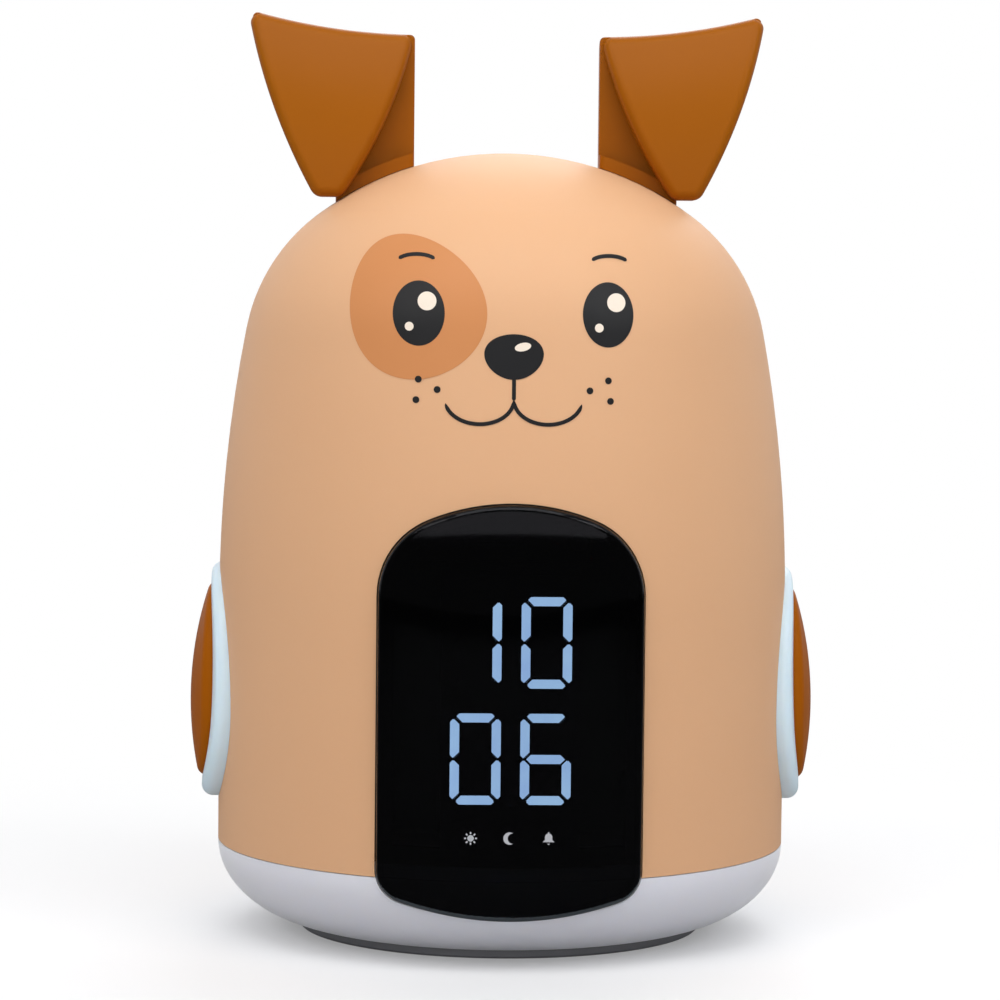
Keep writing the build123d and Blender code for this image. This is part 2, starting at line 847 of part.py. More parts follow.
def base_screws():
    screw = screw_solid((0, 0, base_floor_z), (0, 0, 1), big_screw_r, base_screw_len, big_head_r, big_head_t)
    with BuildPart() as screws:
        with GridLocations(2 * base_screw_x, 2 * base_screw_y, 2, 2):
            add(screw)
    return screws


def battery_door():
    with BuildPart() as door:
        with BuildSketch(Plane.XY.offset(base_lift)):
            RectangleRounded(door_l, door_w, door_corner)
            with Locations((door_tab_x / 2, 0)):
                Rectangle(door_tab_x, door_tab_w)
        extrude(amount=door_t)
        with BuildSketch(Plane.XY.offset(base_lift)):
            with Locations((door_screw_x, 0)):
                Circle(screw_r + hole_gap)
        extrude(amount=door_t, mode=Mode.SUBTRACT)
        with BuildSketch(Plane.XY.offset(base_lift)):
            with Locations((door_screw_x, 0)):
                Circle(screw_head_r + fit_gap)
        extrude(amount=screw_head_t, mode=Mode.SUBTRACT)
        with BuildSketch(Plane.XY.offset(base_lift)):
            with GridLocations(door_grip_pitch, 0, door_grip_count, 1):
                SlotOverall(door_grip_l, door_grip_w, rotation=90)
        extrude(amount=door_grip_t, mode=Mode.SUBTRACT)
    return door


def battery_door_screw():
    seat = (door_screw_x, 0, base_lift + screw_head_t)
    with BuildPart() as screw:
        add(screw_solid(seat, (0, 0, 1), screw_r, door_screw_len, screw_head_r, screw_head_t))
    return screw


def battery_cells():
    with BuildPart() as cells:
        for side in (-1, 1):
            start = (side * (cell_l / 2 - cell_shift), side * cell_pitch / 2, cell_z)
            toward = (-side, 0, 0)
            add(rod(start, toward, cell_r, cell_l))
            nub = (start[0] - side * cell_l, start[1], cell_z)
            add(rod(nub, toward, cell_nub_r, cell_nub_l))
    return cells


def cell_springs():
    """A coil at each cell's flat end, against the bay's end wall."""
    with BuildPart() as springs:
        for side in (-1, 1):
            wall = (side * (bay_l / 2 - seat_gap), side * cell_pitch / 2, cell_z)
            room = bay_l / 2 - (cell_l / 2 - cell_shift) - 2 * seat_gap
            add(coil_solid(wall, (-side, 0, 0), cell_spring_r, cell_spring_wire, room, cell_spring_turns))
    return springs


def cell_plates():
    """A contact at each cell's raised end, with a pressed button that meets the cell."""
    with BuildPart() as plates:
        for side in (-1, 1):
            wall_x = -side * (bay_l / 2)
            y = side * cell_pitch / 2
            with Locations((wall_x + side * contact_t / 2, y, cell_z)):
                Box(contact_t, cell_pitch - 2, cell_pitch - 2)
            room = bay_l / 2 - (cell_l / 2 + cell_shift + cell_nub_l)
            add(rod((wall_x, y, cell_z), (side, 0, 0), cell_nub_r, room))
    return plates


# ---------------------------------------------------------------- display

def bowed_tube(outer_r, inner_r):
    """Upright tube whose wall bows gently in both ways from the middle of the window."""
    low = lens_low_z - lens_past
    high = lens_top_z + lens_past
    middle = (low + high) / 2
    sag = (high - middle) ** 2 / (2 * lens_bow_r)
    with BuildPart() as tube:
        with BuildSketch(Plane.XZ):
            with BuildLine():
                ThreePointArc((outer_r - sag, low), (outer_r, middle), (outer_r - sag, high))
                Line((outer_r - sag, high), (inner_r - sag, high))
                ThreePointArc((inner_r - sag, high), (inner_r, middle), (inner_r - sag, low))
                Line((inner_r - sag, low), (outer_r - sag, low))
            make_face()
        revolve(axis=Axis.Z)
    return tube.part


def display_lens():
    """Arched dark window: a bowed face with a rim that reaches back to its frame."""
    room = tube_solid(lens_back_r, 0, 0, lens_top_z + lens_past)
    body = (window_prism(0) & bowed_tube(lens_front_r, lens_back_r - lens_t)) - room
    pocket = window_prism(-lens_rim_t) & bowed_tube(lens_front_r - lens_t, lens_back_r - 2 * lens_t)
    with BuildPart() as lens:
        add(body)
        front = faces().sort_by(SortBy.AREA)[-2:].sort_by(Axis.Y)[0]
        fillet(front.edges(), radius=lens_edge)
        add(pocket, mode=Mode.SUBTRACT)
    return lens


def display_frame():
    """Arched frame behind the dome's wall: a flange inside, and a step that backs the lens."""
    opening = window_prism(-frame_band)
    low_z = chassis_low_z
    behind = body_layer(dome_wall + fit_gap, dome_wall + fit_gap + frame_t, low_z)
    flange = (window_prism(frame_flange) & behind) - opening
    step_tube = tube_solid(lens_back_r - fit_gap, panel_in_r - frame_t, low_z, lens_top_z + lens_past)
    step = (window_prism(-frame_inset) & step_tube) - opening
    bar_r = panel_in_r - fit_gap
    bar_tube = tube_solid(bar_r, bar_r - frame_t, low_z, low_z + frame_band)
    bar = window_prism(frame_flange) & bar_tube
    with BuildPart() as frame:
        add(flange)
        add(step)
        add(bar)
        for z in (display_post_low_z, display_post_top_z):
            for x in (-display_post_x, display_post_x):
                post = rod((x, -display_board_y, z), (0, -1, 0), post_r, frame_post_run)
                add(post & body_solid(dome_wall + fit_gap, low_z))
        for z in (display_post_low_z, display_post_top_z):
            for x in (-display_post_x, display_post_x):
                add(rod((x, -display_board_y, z), (0, -1, 0), pilot_r, frame_pilot_l), mode=Mode.SUBTRACT)
    return frame


def segment_outline(x, z, length, upright):
    """Six-cornered bar of one display segment, as sketch corners."""
    half = length / 2
    edge = segment_t / 2
    flat = half - edge
    corners = [(-half, 0), (-flat, edge), (flat, edge), (half, 0), (flat, -edge), (-flat, -edge)]
    if upright:
        corners = [(across, along) for along, across in corners]
    return [(x + across, z + along) for across, along in corners]


def segment_corners():
    """Corners of all 28 segments."""
    bars = []
    across_l = digit_w - segment_t - 2 * segment_gap
    up_l = digit_h / 2 - segment_t / 2 - segment_gap
    up_z = (digit_h - segment_t) / 4
    for column in (-0.5, 0.5):
        for row in (-0.5, 0.5):
            x = column * digit_pitch_x
            z = digits_mid_z + row * digit_pitch_z
            for level in (-1, 0, 1):
                bars.append(segment_outline(x, z + level * 2 * up_z, across_l, False))
            for side in (-1, 1):
                for half in (-1, 1):
                    bar_x = x + side * (digit_w - segment_t) / 2
                    bars.append(segment_outline(bar_x, z + half * up_z, up_l, True))
    return bars


def segment_bars(depth):
    """Prisms of the segments and the three legend windows, from the block's front back."""
    with BuildPart() as bars:
        with BuildSketch(Plane.XZ.offset(block_front_y)):
            for corners in segment_corners():
                Polygon(*corners, align=None)
            with Locations((0, legend_z)):
                with GridLocations(legend_pitch, 0, 3, 1):
                    Rectangle(legend_w, legend_h)
        extrude(amount=-depth)
    return bars.part


def digit_block():
    bars = segment_bars(segment_depth)
    with BuildPart() as block:
        with BuildSketch(Plane.XZ.offset(display_board_y)):
            with Locations((0, (block_low_z + block_top_z) / 2)):
                Rectangle(block_w, block_top_z - block_low_z)
        extrude(amount=block_front_y - display_board_y)
        add(bars, mode=Mode.SUBTRACT)
    return block


def digit_segments():
    with BuildPart() as segments:
        add(segment_bars(segment_depth))
    return segments


def display_board():
    with BuildPart() as board:
        with BuildSketch(Plane.XZ.offset(display_board_y - board_t)):
            with Locations((0, (display_board_low_z + display_board_top_z) / 2)):
                RectangleRounded(display_board_w, display_board_top_z - display_board_low_z, board_corner)
            with Locations((0, (display_post_low_z + display_post_top_z) / 2)):
                with GridLocations(2 * display_post_x, display_post_top_z - display_post_low_z, 2, 2):
                    Circle(screw_r + hole_gap, mode=Mode.SUBTRACT)
        extrude(amount=board_t)
    return board


def display_screws():
    with BuildPart() as screws:
        for z in (display_post_low_z, display_post_top_z):
            for x in (-display_post_x, display_post_x):
                seat = (x, -(display_board_y - board_t), z)
                add(screw_solid(seat, (0, -1, 0), screw_r, screw_len, screw_head_r, screw_head_t))
    return screws


# ---------------------------------------------------------------- side buttons

def ring_drum(side):
    """Leaning drum whose side is the light ring's face, further out at the foot."""
    with BuildPart() as drum:
        with Locations(Location((0, 0, pod_wide_z), (0, -side * pod_face_lean, 0))):
            Cylinder(radius=pod_face_x, height=window_reach)
    return drum.part


def light_ring(side):
    """Translucent ring with a web behind the button, two board posts and the stem's guide hole."""
    blank = pod_prism(0, pod_web_x, pod_face_x + pod_half_w / 2, side)
    well = pod_prism(-pod_ring_w, pod_web_x + pod_web_t, pod_face_x + pod_half_w, side)
    flange = pod_prism(pod_gap + collar_t, pod_web_x, pod_web_x + pod_web_t, side)
    with BuildPart() as ring:
        add(blank)
        add(ring_drum(side), mode=Mode.INTERSECT)
        rim = faces().sort_by(Axis.X)[-1 if side == 1 else 0]
        fillet(rim.edges(), radius=pod_edge)
        add(flange)
        add(well, mode=Mode.SUBTRACT)
        for z in (side_post_low_z, side_post_top_z):
            add(rod((side * pod_web_x, 0, z), (-side, 0, 0), post_r, pod_web_x - side_board_x))
        for z in (side_post_low_z, side_post_top_z):
            start = (side * (pod_web_x + pod_web_t / 2), 0, z)
            add(rod(start, (-side, 0, 0), pilot_r, pod_web_x), mode=Mode.SUBTRACT)
        add(rod((0, 0, stem_z), (side, 0, 0), stem_r + stem_gap, pod_face_x), mode=Mode.SUBTRACT)
    return ring


def light_ring_right():
    return light_ring(1)


def light_ring_left():
    return light_ring(-1)


def crown_barrel(side, inset):
    """Barrel about an upright axis whose side is the button's crown, or its lining further in."""
    round_r = cap_crown_r - inset
    reach = pod_up
    bow_in = round_r - sqrt(round_r**2 - reach**2)
    out = cap_side_r - inset
    with BuildPart() as barrel:
        with BuildSketch(Plane.XZ):
            with BuildLine():
                low = (out - bow_in, -reach)
                high = (out - bow_in, reach)
                ThreePointArc(low, (out, 0), high)
                Polyline(high, (0, reach), (0, -reach), low)
            make_face()
        revolve(axis=Axis.Z)
    return barrel.part.moved(Location((side * (cap_top_x - cap_side_r), 0, cap_crown_z)))


def button_cap(side):
    """Domed push button with a skirt, a stem to the switch and a collar for its spring."""
    skirt = -pod_ring_w - cap_gap
    blank = pod_prism(skirt, cap_back_x, cap_top_x, side) & crown_barrel(side, 0)
    hollow = pod_prism(skirt - cap_wall, cap_back_x - 1, cap_top_x, side)
    hollow = hollow & crown_barrel(side, cap_wall)
    stem_end = side_board_x + side_switch_h + stem_play
    crown_x = cap_top_x - cap_wall / 2 - cap_stem_sunk
    with BuildPart() as cap:
        add(blank)
        rim = faces().sort_by(Axis.X)[-1 if side == 1 else 0]
        fillet(rim.edges(), radius=cap_edge)
        add(hollow, mode=Mode.SUBTRACT)
        add(rod((side * stem_end, 0, stem_z), (side, 0, 0), stem_r, crown_x - stem_end))
        add(rod((side * stem_collar_x, 0, stem_z), (side, 0, 0), stem_collar_r, crown_x - stem_collar_x))
    return cap


def button_cap_right():
    return button_cap(1)


def button_cap_left():
    return button_cap(-1)


def button_spring(side):
    start = (side * (pod_web_x + pod_web_t + seat_gap), 0, stem_z)
    length = stem_collar_x - pod_web_x - pod_web_t - 2 * seat_gap
    with BuildPart() as spring:
        add(coil_solid(start, (side, 0, 0), spring_r, spring_wire, length, spring_turns))
    return spring


def button_spring_right():
    return button_spring(1)


def button_spring_left():
    return button_spring(-1)


def side_switch(side):
    """Push switch body on the side board, with a bore for its plunger."""
    with BuildPart() as switch:
        with Locations((side * (side_board_x + side_switch_h / 2), 0, stem_z)):
            Box(side_switch_h, side_switch_w, side_switch_w)
        bore_x = side_board_x + side_switch_floor
        bore = rod((side * bore_x, 0, stem_z), (side, 0, 0), side_plunger_r + fit_gap, side_switch_h)
        add(bore, mode=Mode.SUBTRACT)
    return switch


def side_switch_right():
    return side_switch(1)


def side_switch_left():
    return side_switch(-1)


def switch_plunger(side):
    """Plunger that the stem pushes; it rides with the button."""
    tip_x = side_board_x + side_switch_h + stem_play - seat_gap
    with BuildPart() as plunger:
        start = (side * (tip_x - side_plunger_len), 0, stem_z)
        add(rod(start, (side, 0, 0), side_plunger_r, side_plunger_len))
    return plunger


def switch_plunger_right():
    return switch_plunger(1)


def switch_plunger_left():
    return switch_plunger(-1)


def side_board(side):
    inner_x = side_board_x - board_t
    base = Plane(origin=(side * inner_x, 0, 0), x_dir=(0, side, 0), z_dir=(side, 0, 0))
    with BuildPart() as board:
        with BuildSketch(base):
            with Locations((0, (side_board_low_z + side_board_top_z) / 2)):
                RectangleRounded(side_board_w, side_board_top_z - side_board_low_z, board_corner)
            for z in (side_post_low_z, side_post_top_z):
                with Locations((0, z)):
                    Circle(screw_r + hole_gap, mode=Mode.SUBTRACT)
        extrude(amount=board_t)
    return board


def side_board_right():
    return side_board(1)


def side_board_left():
    return side_board(-1)


def side_leds():
    """Light-emitting chips on the outer faces of both side boards, behind the rings."""
    with BuildPart() as leds:
        for side in (-1, 1):
            for y in (-side_led_y, side_led_y):
                for z in (side_led_low_z, stem_z, side_led_top_z):
                    with Locations((side * (side_board_x + led_t / 2), y, z)):
                        Box(led_t, led_size, led_size)
    return leds


def side_screws():
    with BuildPart() as screws:
        for side in (-1, 1):
            for z in (side_post_low_z, side_post_top_z):
                seat = (side * (side_board_x - board_t), 0, z)
                add(screw_solid(seat, (side, 0, 0), screw_r, screw_len, screw_head_r, screw_head_t))
    return screws


# ---------------------------------------------------------------- rear panel

key_places = {
    "key_alarm": (-key_x, key_top_z),
    "key_set": (key_x, key_top_z),
    "key_minus": (-key_x, key_low_z),
    "key_plus": (key_x, key_low_z),
}


def speaker_turned(points):
    """Solid turned about the loudspeaker's axis from a section of distance out and height along +Y."""
    base = Plane(origin=(0, 0, speaker_z), x_dir=(1, 0, 0), z_dir=(0, 0, 1))
    with BuildPart() as solid:
        with BuildSketch(base):
            Polygon(*points, align=None)
        revolve(axis=Axis((0, 0, speaker_z), (0, 1, 0)))
    return solid.part


def rear_panel():
    """Panel flush in the dome's back, with a flange inside, openings and board posts."""
    wall = rear_prism(-rear_gap) & body_layer(0, dome_wall + rear_flange_t, dome_low_z)
    behind = body_layer(dome_wall + fit_gap, dome_wall + rear_flange_t, dome_low_z)
    flange = rear_prism(rear_flange) & behind
    hollow = rear_prism(-rear_flange_in) & body_solid(dome_wall, dome_low_z)
    inside = body_solid(dome_wall / 2, dome_low_z)
    collar_in = speaker_r + speaker_gap
    collar_out = collar_in + speaker_collar_t
    low_y = speaker_rim_y - speaker_step_t
    collar = speaker_turned([
        (collar_in, low_y), (collar_out, low_y), (collar_out, body_r), (collar_in, body_r),
    ])
    with BuildPart() as panel:
        add(wall)
        add(flange)
        add(hollow, mode=Mode.SUBTRACT)
        add(collar & inside)
        for x, z in rear_post_places:
            add(rod((x, rear_board_y, z), (0, 1, 0), post_r, rear_cut) & inside)
        for x, z in rear_post_places:
            add(rod((x, rear_board_y, z), (0, 1, 0), pilot_r, rear_pilot_l), mode=Mode.SUBTRACT)
        for x, z in key_places.values():
            add(rod((x, rear_board_y, z), (0, 1, 0), key_r + key_gap, rear_cut), mode=Mode.SUBTRACT)
        for ring in range(grille_rings + 1):
            with BuildSketch(Plane.XZ.offset(-rear_board_y)):
                with Locations((0, speaker_z)):
                    with PolarLocations(ring * grille_pitch, max(1, 6 * ring)):
                        Circle(grille_hole_r)
            extrude(amount=-rear_cut, mode=Mode.SUBTRACT)
        with BuildSketch(Plane.XZ.offset(-rear_board_y)):
            with Locations((slider_x, slider_z)):
                Rectangle(slider_w + slider_travel + 2 * slider_gap, slider_h + 2 * slider_gap)
            with Locations((inlet_x, inlet_z)):
                RectangleRounded(inlet_w + 2 * inlet_gap, inlet_h + 2 * inlet_gap, inlet_h / 2)
        extrude(amount=-rear_cut, mode=Mode.SUBTRACT)
    return panel


def rear_key(place):
    """Round key with a flange that stops it behind the panel."""
    x, z = place
    with BuildPart() as key:
        add(rod((x, key_flange_y, z), (0, 1, 0), key_flange_r, key_flange_t))
        add(rod((x, key_flange_y, z), (0, 1, 0), key_r, key_tip_y - key_flange_y))
        fillet(edges().group_by(Axis.Y)[-1], radius=key_edge)
    return key


def key_mat():
    """Rubber mat on the rear board with a dome under each key."""
    width = 2 * (key_x + mat_dome_r + mat_margin)
    height = key_top_z - key_low_z + 2 * (mat_dome_r + mat_margin)
    with BuildPart() as mat:
        with BuildSketch(Plane.XZ.offset(-rear_board_y)):
            with Locations((0, (key_low_z + key_top_z) / 2)):
                RectangleRounded(width, height, mat_corner)
        extrude(amount=-mat_t)
        for x, z in key_places.values():
            add(rod((x, rear_board_y, z), (0, 1, 0), mat_dome_r, mat_t + mat_dome_h))
        fillet(edges().group_by(Axis.Y)[-1], radius=mat_edge)
    return mat


def slider_knob():
    """Alarm on/off knob: a post in the panel's slot with a foot in the switch body."""
    low_y = rear_board_y + slider_floor + fit_gap
    with BuildPart() as knob:
        with Locations((slider_x - slider_travel / 2, (low_y + slider_tip_y) / 2, slider_z)):
            Box(slider_w, slider_tip_y - low_y, slider_h)
        fillet(edges().group_by(Axis.Y)[-1], radius=slider_edge)
    return knob


def slider_switch():
    with BuildPart() as switch:
        with Locations((slider_x, rear_board_y + slider_body_t / 2, slider_z)):
            Box(slider_body_w, slider_body_t, slider_body_h)
        with Locations((slider_x, rear_board_y + slider_floor + slider_body_t / 2, slider_z)):
            width = slider_w + slider_travel + 2 * slider_play
            Box(width, slider_body_t, slider_h + slider_play, mode=Mode.SUBTRACT)
    return switch


def power_inlet():
    """Low-voltage socket: a metal sleeve, its tongue and its base on the board."""
    depth = inlet_front_y - rear_board_y
    hole_w = inlet_w - 2 * inlet_wall
    hole_h = inlet_h - 2 * inlet_wall
    with BuildPart() as inlet:
        with BuildSketch(Plane.XZ.offset(-rear_board_y)):
            with Locations((inlet_x, inlet_z)):
                RectangleRounded(inlet_w, inlet_h, inlet_h / 2 - fit_gap)
        extrude(amount=-depth)
        with BuildSketch(Plane.XZ.offset(-rear_board_y - 1)):
            with Locations((inlet_x, inlet_z)):
                RectangleRounded(hole_w, hole_h, hole_h / 2 - fit_gap)
                Rectangle(inlet_tongue_w, inlet_tongue_t, mode=Mode.SUBTRACT)
        extrude(amount=-depth, mode=Mode.SUBTRACT)
        with Locations((inlet_x, inlet_front_y, inlet_z)):
            Box(inlet_w, 2 * inlet_tongue_in, inlet_h, mode=Mode.SUBTRACT)
    return inlet


def rear_board():
    """Board for the keys, slide switch and inlet, open round the loudspeaker."""
    with BuildPart() as board:
        with BuildSketch(Plane.XZ.offset(-(rear_board_y - board_t))):
            with Locations((0, (rear_board_low_z + rear_board_top_z) / 2)):
                RectangleRounded(rear_board_w, rear_board_top_z - rear_board_low_z, rear_board_corner)
            with Locations((0, speaker_z)):
                Circle(speaker_r + 2 * speaker_gap, mode=Mode.SUBTRACT)
            with Locations(*rear_post_places):
                Circle(screw_r + hole_gap, mode=Mode.SUBTRACT)
        extrude(amount=-board_t)
    return board


def rear_screws():
    with BuildPart() as screws:
        for x, z in rear_post_places:
            seat = (x, rear_board_y - board_t, z)
            add(screw_solid(seat, (0, 1, 0), screw_r, screw_len, screw_head_r, screw_head_t))
    return screws


def speaker_basket():
    front_y = speaker_rim_y + speaker_rim_t
    step_r = speaker_r - speaker_step_w
    neck_r = magnet_r + speaker_gap
    floor_y = speaker_back_y + speaker_back_t
    section = [
        (neck_r, speaker_back_y), (speaker_r, speaker_rim_y), (speaker_r, front_y), (step_r, front_y),
        (step_r, speaker_rim_y + speaker_step_t), (neck_r, floor_y),
        (speaker_bore_r, floor_y), (speaker_bore_r, speaker_back_y),
    ]
    with BuildPart() as basket:
        add(speaker_turned(section))
        with Locations((speaker_lead_x, speaker_tab_y + speaker_tab_t / 2, speaker_z)):
            Box(speaker_tab_w, speaker_tab_t, speaker_tab_h)
    return basket


def speaker_cone():
    front_y = speaker_rim_y + cone_edge_w
    edge_r = speaker_r - cone_edge_w
    hub_y = speaker_back_y + cone_hub_y
    section = [
        (edge_r, front_y), (edge_r, front_y - cone_edge_t), (cone_hub_r, hub_y), (0, hub_y + cone_crown),
        (0, hub_y + cone_crown + cone_edge_t), (cone_hub_r, hub_y + cone_edge_t), (edge_r - cone_t, front_y),
    ]
    with BuildPart() as cone:
        add(speaker_turned(section))
    return cone


def speaker_magnet():
    with BuildPart() as magnet:
        add(rod((0, speaker_back_y, speaker_z), (0, -1, 0), magnet_r, magnet_t))
        chamfer(edges().group_by(Axis.Y)[0], length=magnet_edge)
    return magnet


# ---------------------------------------------------------------- chassis, boards and leads

def chassis():
    """Plate between dome and base that carries the main board and takes the base screws."""
    pillar_low_z = base_lift + base_boss_h
    with BuildPart() as frame:
        with BuildSketch(Plane.XY.offset(chassis_low_z)):
            Circle(chassis_r)
            with Locations((0, -chassis_front_y - body_r / 2)):
                Rectangle(chassis_front_w, body_r, mode=Mode.SUBTRACT)
            with PolarLocations(boss_ring_r, 4, start_angle=45):
                Circle(big_screw_r + hole_gap, mode=Mode.SUBTRACT)
            slot_x = (battery_rise_x + glow_rise_x) / 2
            with Locations((-slot_x, 0), (slot_x, 0)):
                Rectangle(lead_slot_w, lead_slot_l, mode=Mode.SUBTRACT)
        extrude(amount=chassis_t)
        with BuildSketch(Plane.XY.offset(pillar_low_z)):
            with GridLocations(2 * base_screw_x, 2 * base_screw_y, 2, 2):
                Circle(base_boss_r)
        extrude(amount=chassis_low_z - pillar_low_z)
        with BuildSketch(Plane.XY.offset(pillar_low_z)):
            with GridLocations(2 * base_screw_x, 2 * base_screw_y, 2, 2):
                Circle(big_pilot_r)
        extrude(amount=chassis_low_z - pillar_low_z - blind_floor, mode=Mode.SUBTRACT)
        with BuildSketch(Plane.XY.offset(glow_board_z + board_t)):
            with PolarLocations(glow_pin_ring_r, 4, start_angle=glow_pin_turn):
                Circle(post_r)
        extrude(amount=chassis_low_z - glow_board_z - board_t)
        with BuildSketch(Plane.XY.offset(glow_board_z - glow_pin_sunk)):
            with PolarLocations(glow_pin_ring_r, 4, start_angle=glow_pin_turn):
                Circle(glow_pin_r)
        extrude(amount=board_t + 2 * glow_pin_sunk)
        with BuildSketch(Plane.XY.offset(chassis_top_z)):
            with GridLocations(2 * main_post_x, 2 * main_post_y, 2, 2):
                Circle(post_r)
        extrude(amount=main_post_h)
        with BuildSketch(Plane.XY.offset(chassis_top_z)):
            with GridLocations(2 * main_post_x, 2 * main_post_y, 2, 2):
                Circle(pilot_r)
        extrude(amount=main_post_h, mode=Mode.SUBTRACT)
    return frame


def chassis_screws():
    seat = (0, 0, chassis_low_z)
    screw = screw_solid(seat, (0, 0, 1), big_screw_r, chassis_screw_len, big_head_r, big_head_t)
    with BuildPart() as screws:
        with PolarLocations(boss_ring_r, 4, start_angle=45):
            add(screw)
    return screws


def glow_board():
    with BuildPart() as board:
        with BuildSketch(Plane.XY.offset(glow_board_z)):
            Circle(glow_out_r)
            Circle(glow_in_r, mode=Mode.SUBTRACT)
            with PolarLocations(glow_pin_ring_r, 4, start_angle=glow_pin_turn):
                Circle(glow_pin_r + fit_gap, mode=Mode.SUBTRACT)
        extrude(amount=board_t)
    return board


def glow_leds():
    with BuildPart() as leds:
        with BuildSketch(Plane.XY.offset(glow_board_z - led_t)):
            with PolarLocations(glow_led_ring_r, glow_led_count, start_angle=180 / glow_led_count):
                Rectangle(led_size, led_size)
        extrude(amount=led_t)
    return leds


def main_board():
    with BuildPart() as board:
        with BuildSketch(Plane.XY.offset(main_board_z)):
            RectangleRounded(main_board_w, main_board_d, board_corner)
            with GridLocations(2 * main_post_x, 2 * main_post_y, 2, 2):
                Circle(screw_r + hole_gap, mode=Mode.SUBTRACT)
        extrude(amount=board_t)
    return board


def main_board_screws():
    screw = screw_solid((0, 0, main_top_z), (0, 0, -1), screw_r, screw_len, screw_head_r, screw_head_t)
    with BuildPart() as screws:
        with GridLocations(2 * main_post_x, 2 * main_post_y, 2, 2):
            add(screw)
    return screws


def board_parts():
    """Controller, capacitors, crystal, clock cell and the plug sockets of all boards."""
    half_w = main_board_w / 2
    half_d = main_board_d / 2
    middle = (Align.CENTER, Align.CENTER, Align.MIN)
    with BuildPart() as parts:
        with Locations((*chip_place, main_top_z)):
            Box(chip_w, chip_w, chip_t, align=middle)
        for place in can_places:
            with Locations((*place, main_top_z)):
                Cylinder(can_r, can_h, align=middle)
        with Locations((*crystal_place, main_top_z)):
            Box(crystal_w, crystal_d, crystal_h, align=middle)
        with Locations((*coin_place, main_top_z)):
            Cylinder(coin_r, coin_h, align=middle)
        for x, y in ((-half_w + plug_t, 0), (half_w - plug_t, 0)):
            with Locations((x, y, main_top_z)):
                Box(plug_t, 2 * plug_w, plug_h, align=middle)
        for side in (-1, 1):
            with Locations((side * side_plug_x, -side_lead_y, main_top_z)):
                Box(plug_t, plug_w, plug_h, align=middle)
        with Locations((0, -half_d + plug_t, main_top_z), (0, half_d - plug_t, main_top_z)):
            Box(ribbon_w + 2, plug_t, plug_h, align=middle)
        with Locations((speaker_lead_x, half_d - plug_t, main_top_z)):
            Box(plug_w, plug_t, plug_h, align=middle)
        with Locations((0, -(display_board_y - board_t - plug_t / 2), display_plug_z)):
            Box(ribbon_w + 2, plug_t, plug_h)
        with Locations((0, rear_board_y - board_t - plug_t / 2, rear_plug_z)):
            Box(ribbon_w + 2, plug_t, plug_h)
        for side in (-1, 1):
            with Locations((side * (side_board_x - board_t - plug_t / 2), -side_lead_y, side_plug_z)):
                Box(plug_t, plug_w, plug_h)
    return parts


def ribbon(points):
    """Flat cable through points given as (distance along Y, height), centred on X."""
    with BuildPart() as flat:
        with BuildSketch(Plane.YZ.offset(-ribbon_w / 2)):
            with BuildLine() as path:
                FilletPolyline(*points, radius=bend_r)
            trace(path.line, line_width=ribbon_t)
        extrude(amount=ribbon_w)
    return flat


def display_ribbon():
    board_plug_y = -(display_board_y - board_t - plug_t)
    main_plug_y = -(main_board_d / 2 - plug_t / 2)
    middle_y = (board_plug_y + main_plug_y) / 2 - 2
    return ribbon([
        (board_plug_y, display_plug_z), (middle_y, display_plug_z),
        (middle_y, plug_z), (main_plug_y, plug_z),
    ])


def rear_ribbon():
    board_plug_y = rear_board_y - board_t - plug_t
    main_plug_y = main_board_d / 2 - plug_t / 2
    middle_y = (board_plug_y + main_plug_y) / 2
    return ribbon([
        (board_plug_y, rear_plug_z), (middle_y, rear_plug_z), (middle_y, plug_z), (main_plug_y, plug_z),
    ])


def lead_pair(points, across):
    """Two wires side by side, set apart along the vector across."""
    with BuildPart() as pair:
        for side in (-0.5, 0.5):
            shift = Vector(*across) * (side * lead_pitch)
            add(lead_solid([Vector(*point) + shift for point in points]))
    return pair


def battery_leads():
    wall_x = bay_l / 2 + bay_wall + fit_gap
    plug_x = main_board_w / 2 - plug_t / 2
    low_z = door_boss_top_z - 1
    return lead_pair([
        (-wall_x, 0, low_z), (-battery_rise_x, 0, low_z), (-battery_rise_x, 0, plug_z), (-plug_x, 0, plug_z),
    ], (0, 1, 0))


def glow_leads():
    plug_x = main_board_w / 2 - plug_t / 2
    return lead_pair([
        (glow_rise_x, 0, glow_board_z + board_t), (glow_rise_x, 0, plug_z), (plug_x, 0, plug_z),
    ], (0, 1, 0))


def speaker_leads():
    start_y = speaker_tab_y - fit_gap / 2
    plug_y = main_board_d / 2 - plug_t / 2
    middle_y = (start_y + plug_y) / 2
    return lead_pair([
        (speaker_lead_x, start_y, speaker_z), (speaker_lead_x, middle_y, speaker_z),
        (speaker_lead_x, middle_y, plug_z), (speaker_lead_x, plug_y, plug_z),
    ], (1, 0, 0))


def side_leads():
    """A pair from each side board down to the main board."""
    with BuildPart() as leads:
        for side in (-1, 1):
            board_plug_x = side_board_x - board_t - plug_t
            main_plug_x = side_plug_x + plug_t / 2
            middle_x = (board_plug_x + main_plug_x) / 2
            points = [
                (side * board_plug_x, -side_lead_y, side_plug_z),
                (side * middle_x, -side_lead_y, side_plug_z),
                (side * middle_x, -side_lead_y, plug_z),
                (side * main_plug_x, -side_lead_y, plug_z),
            ]
            add(lead_pair(points, (0, 1, 0)).part)
    return leads


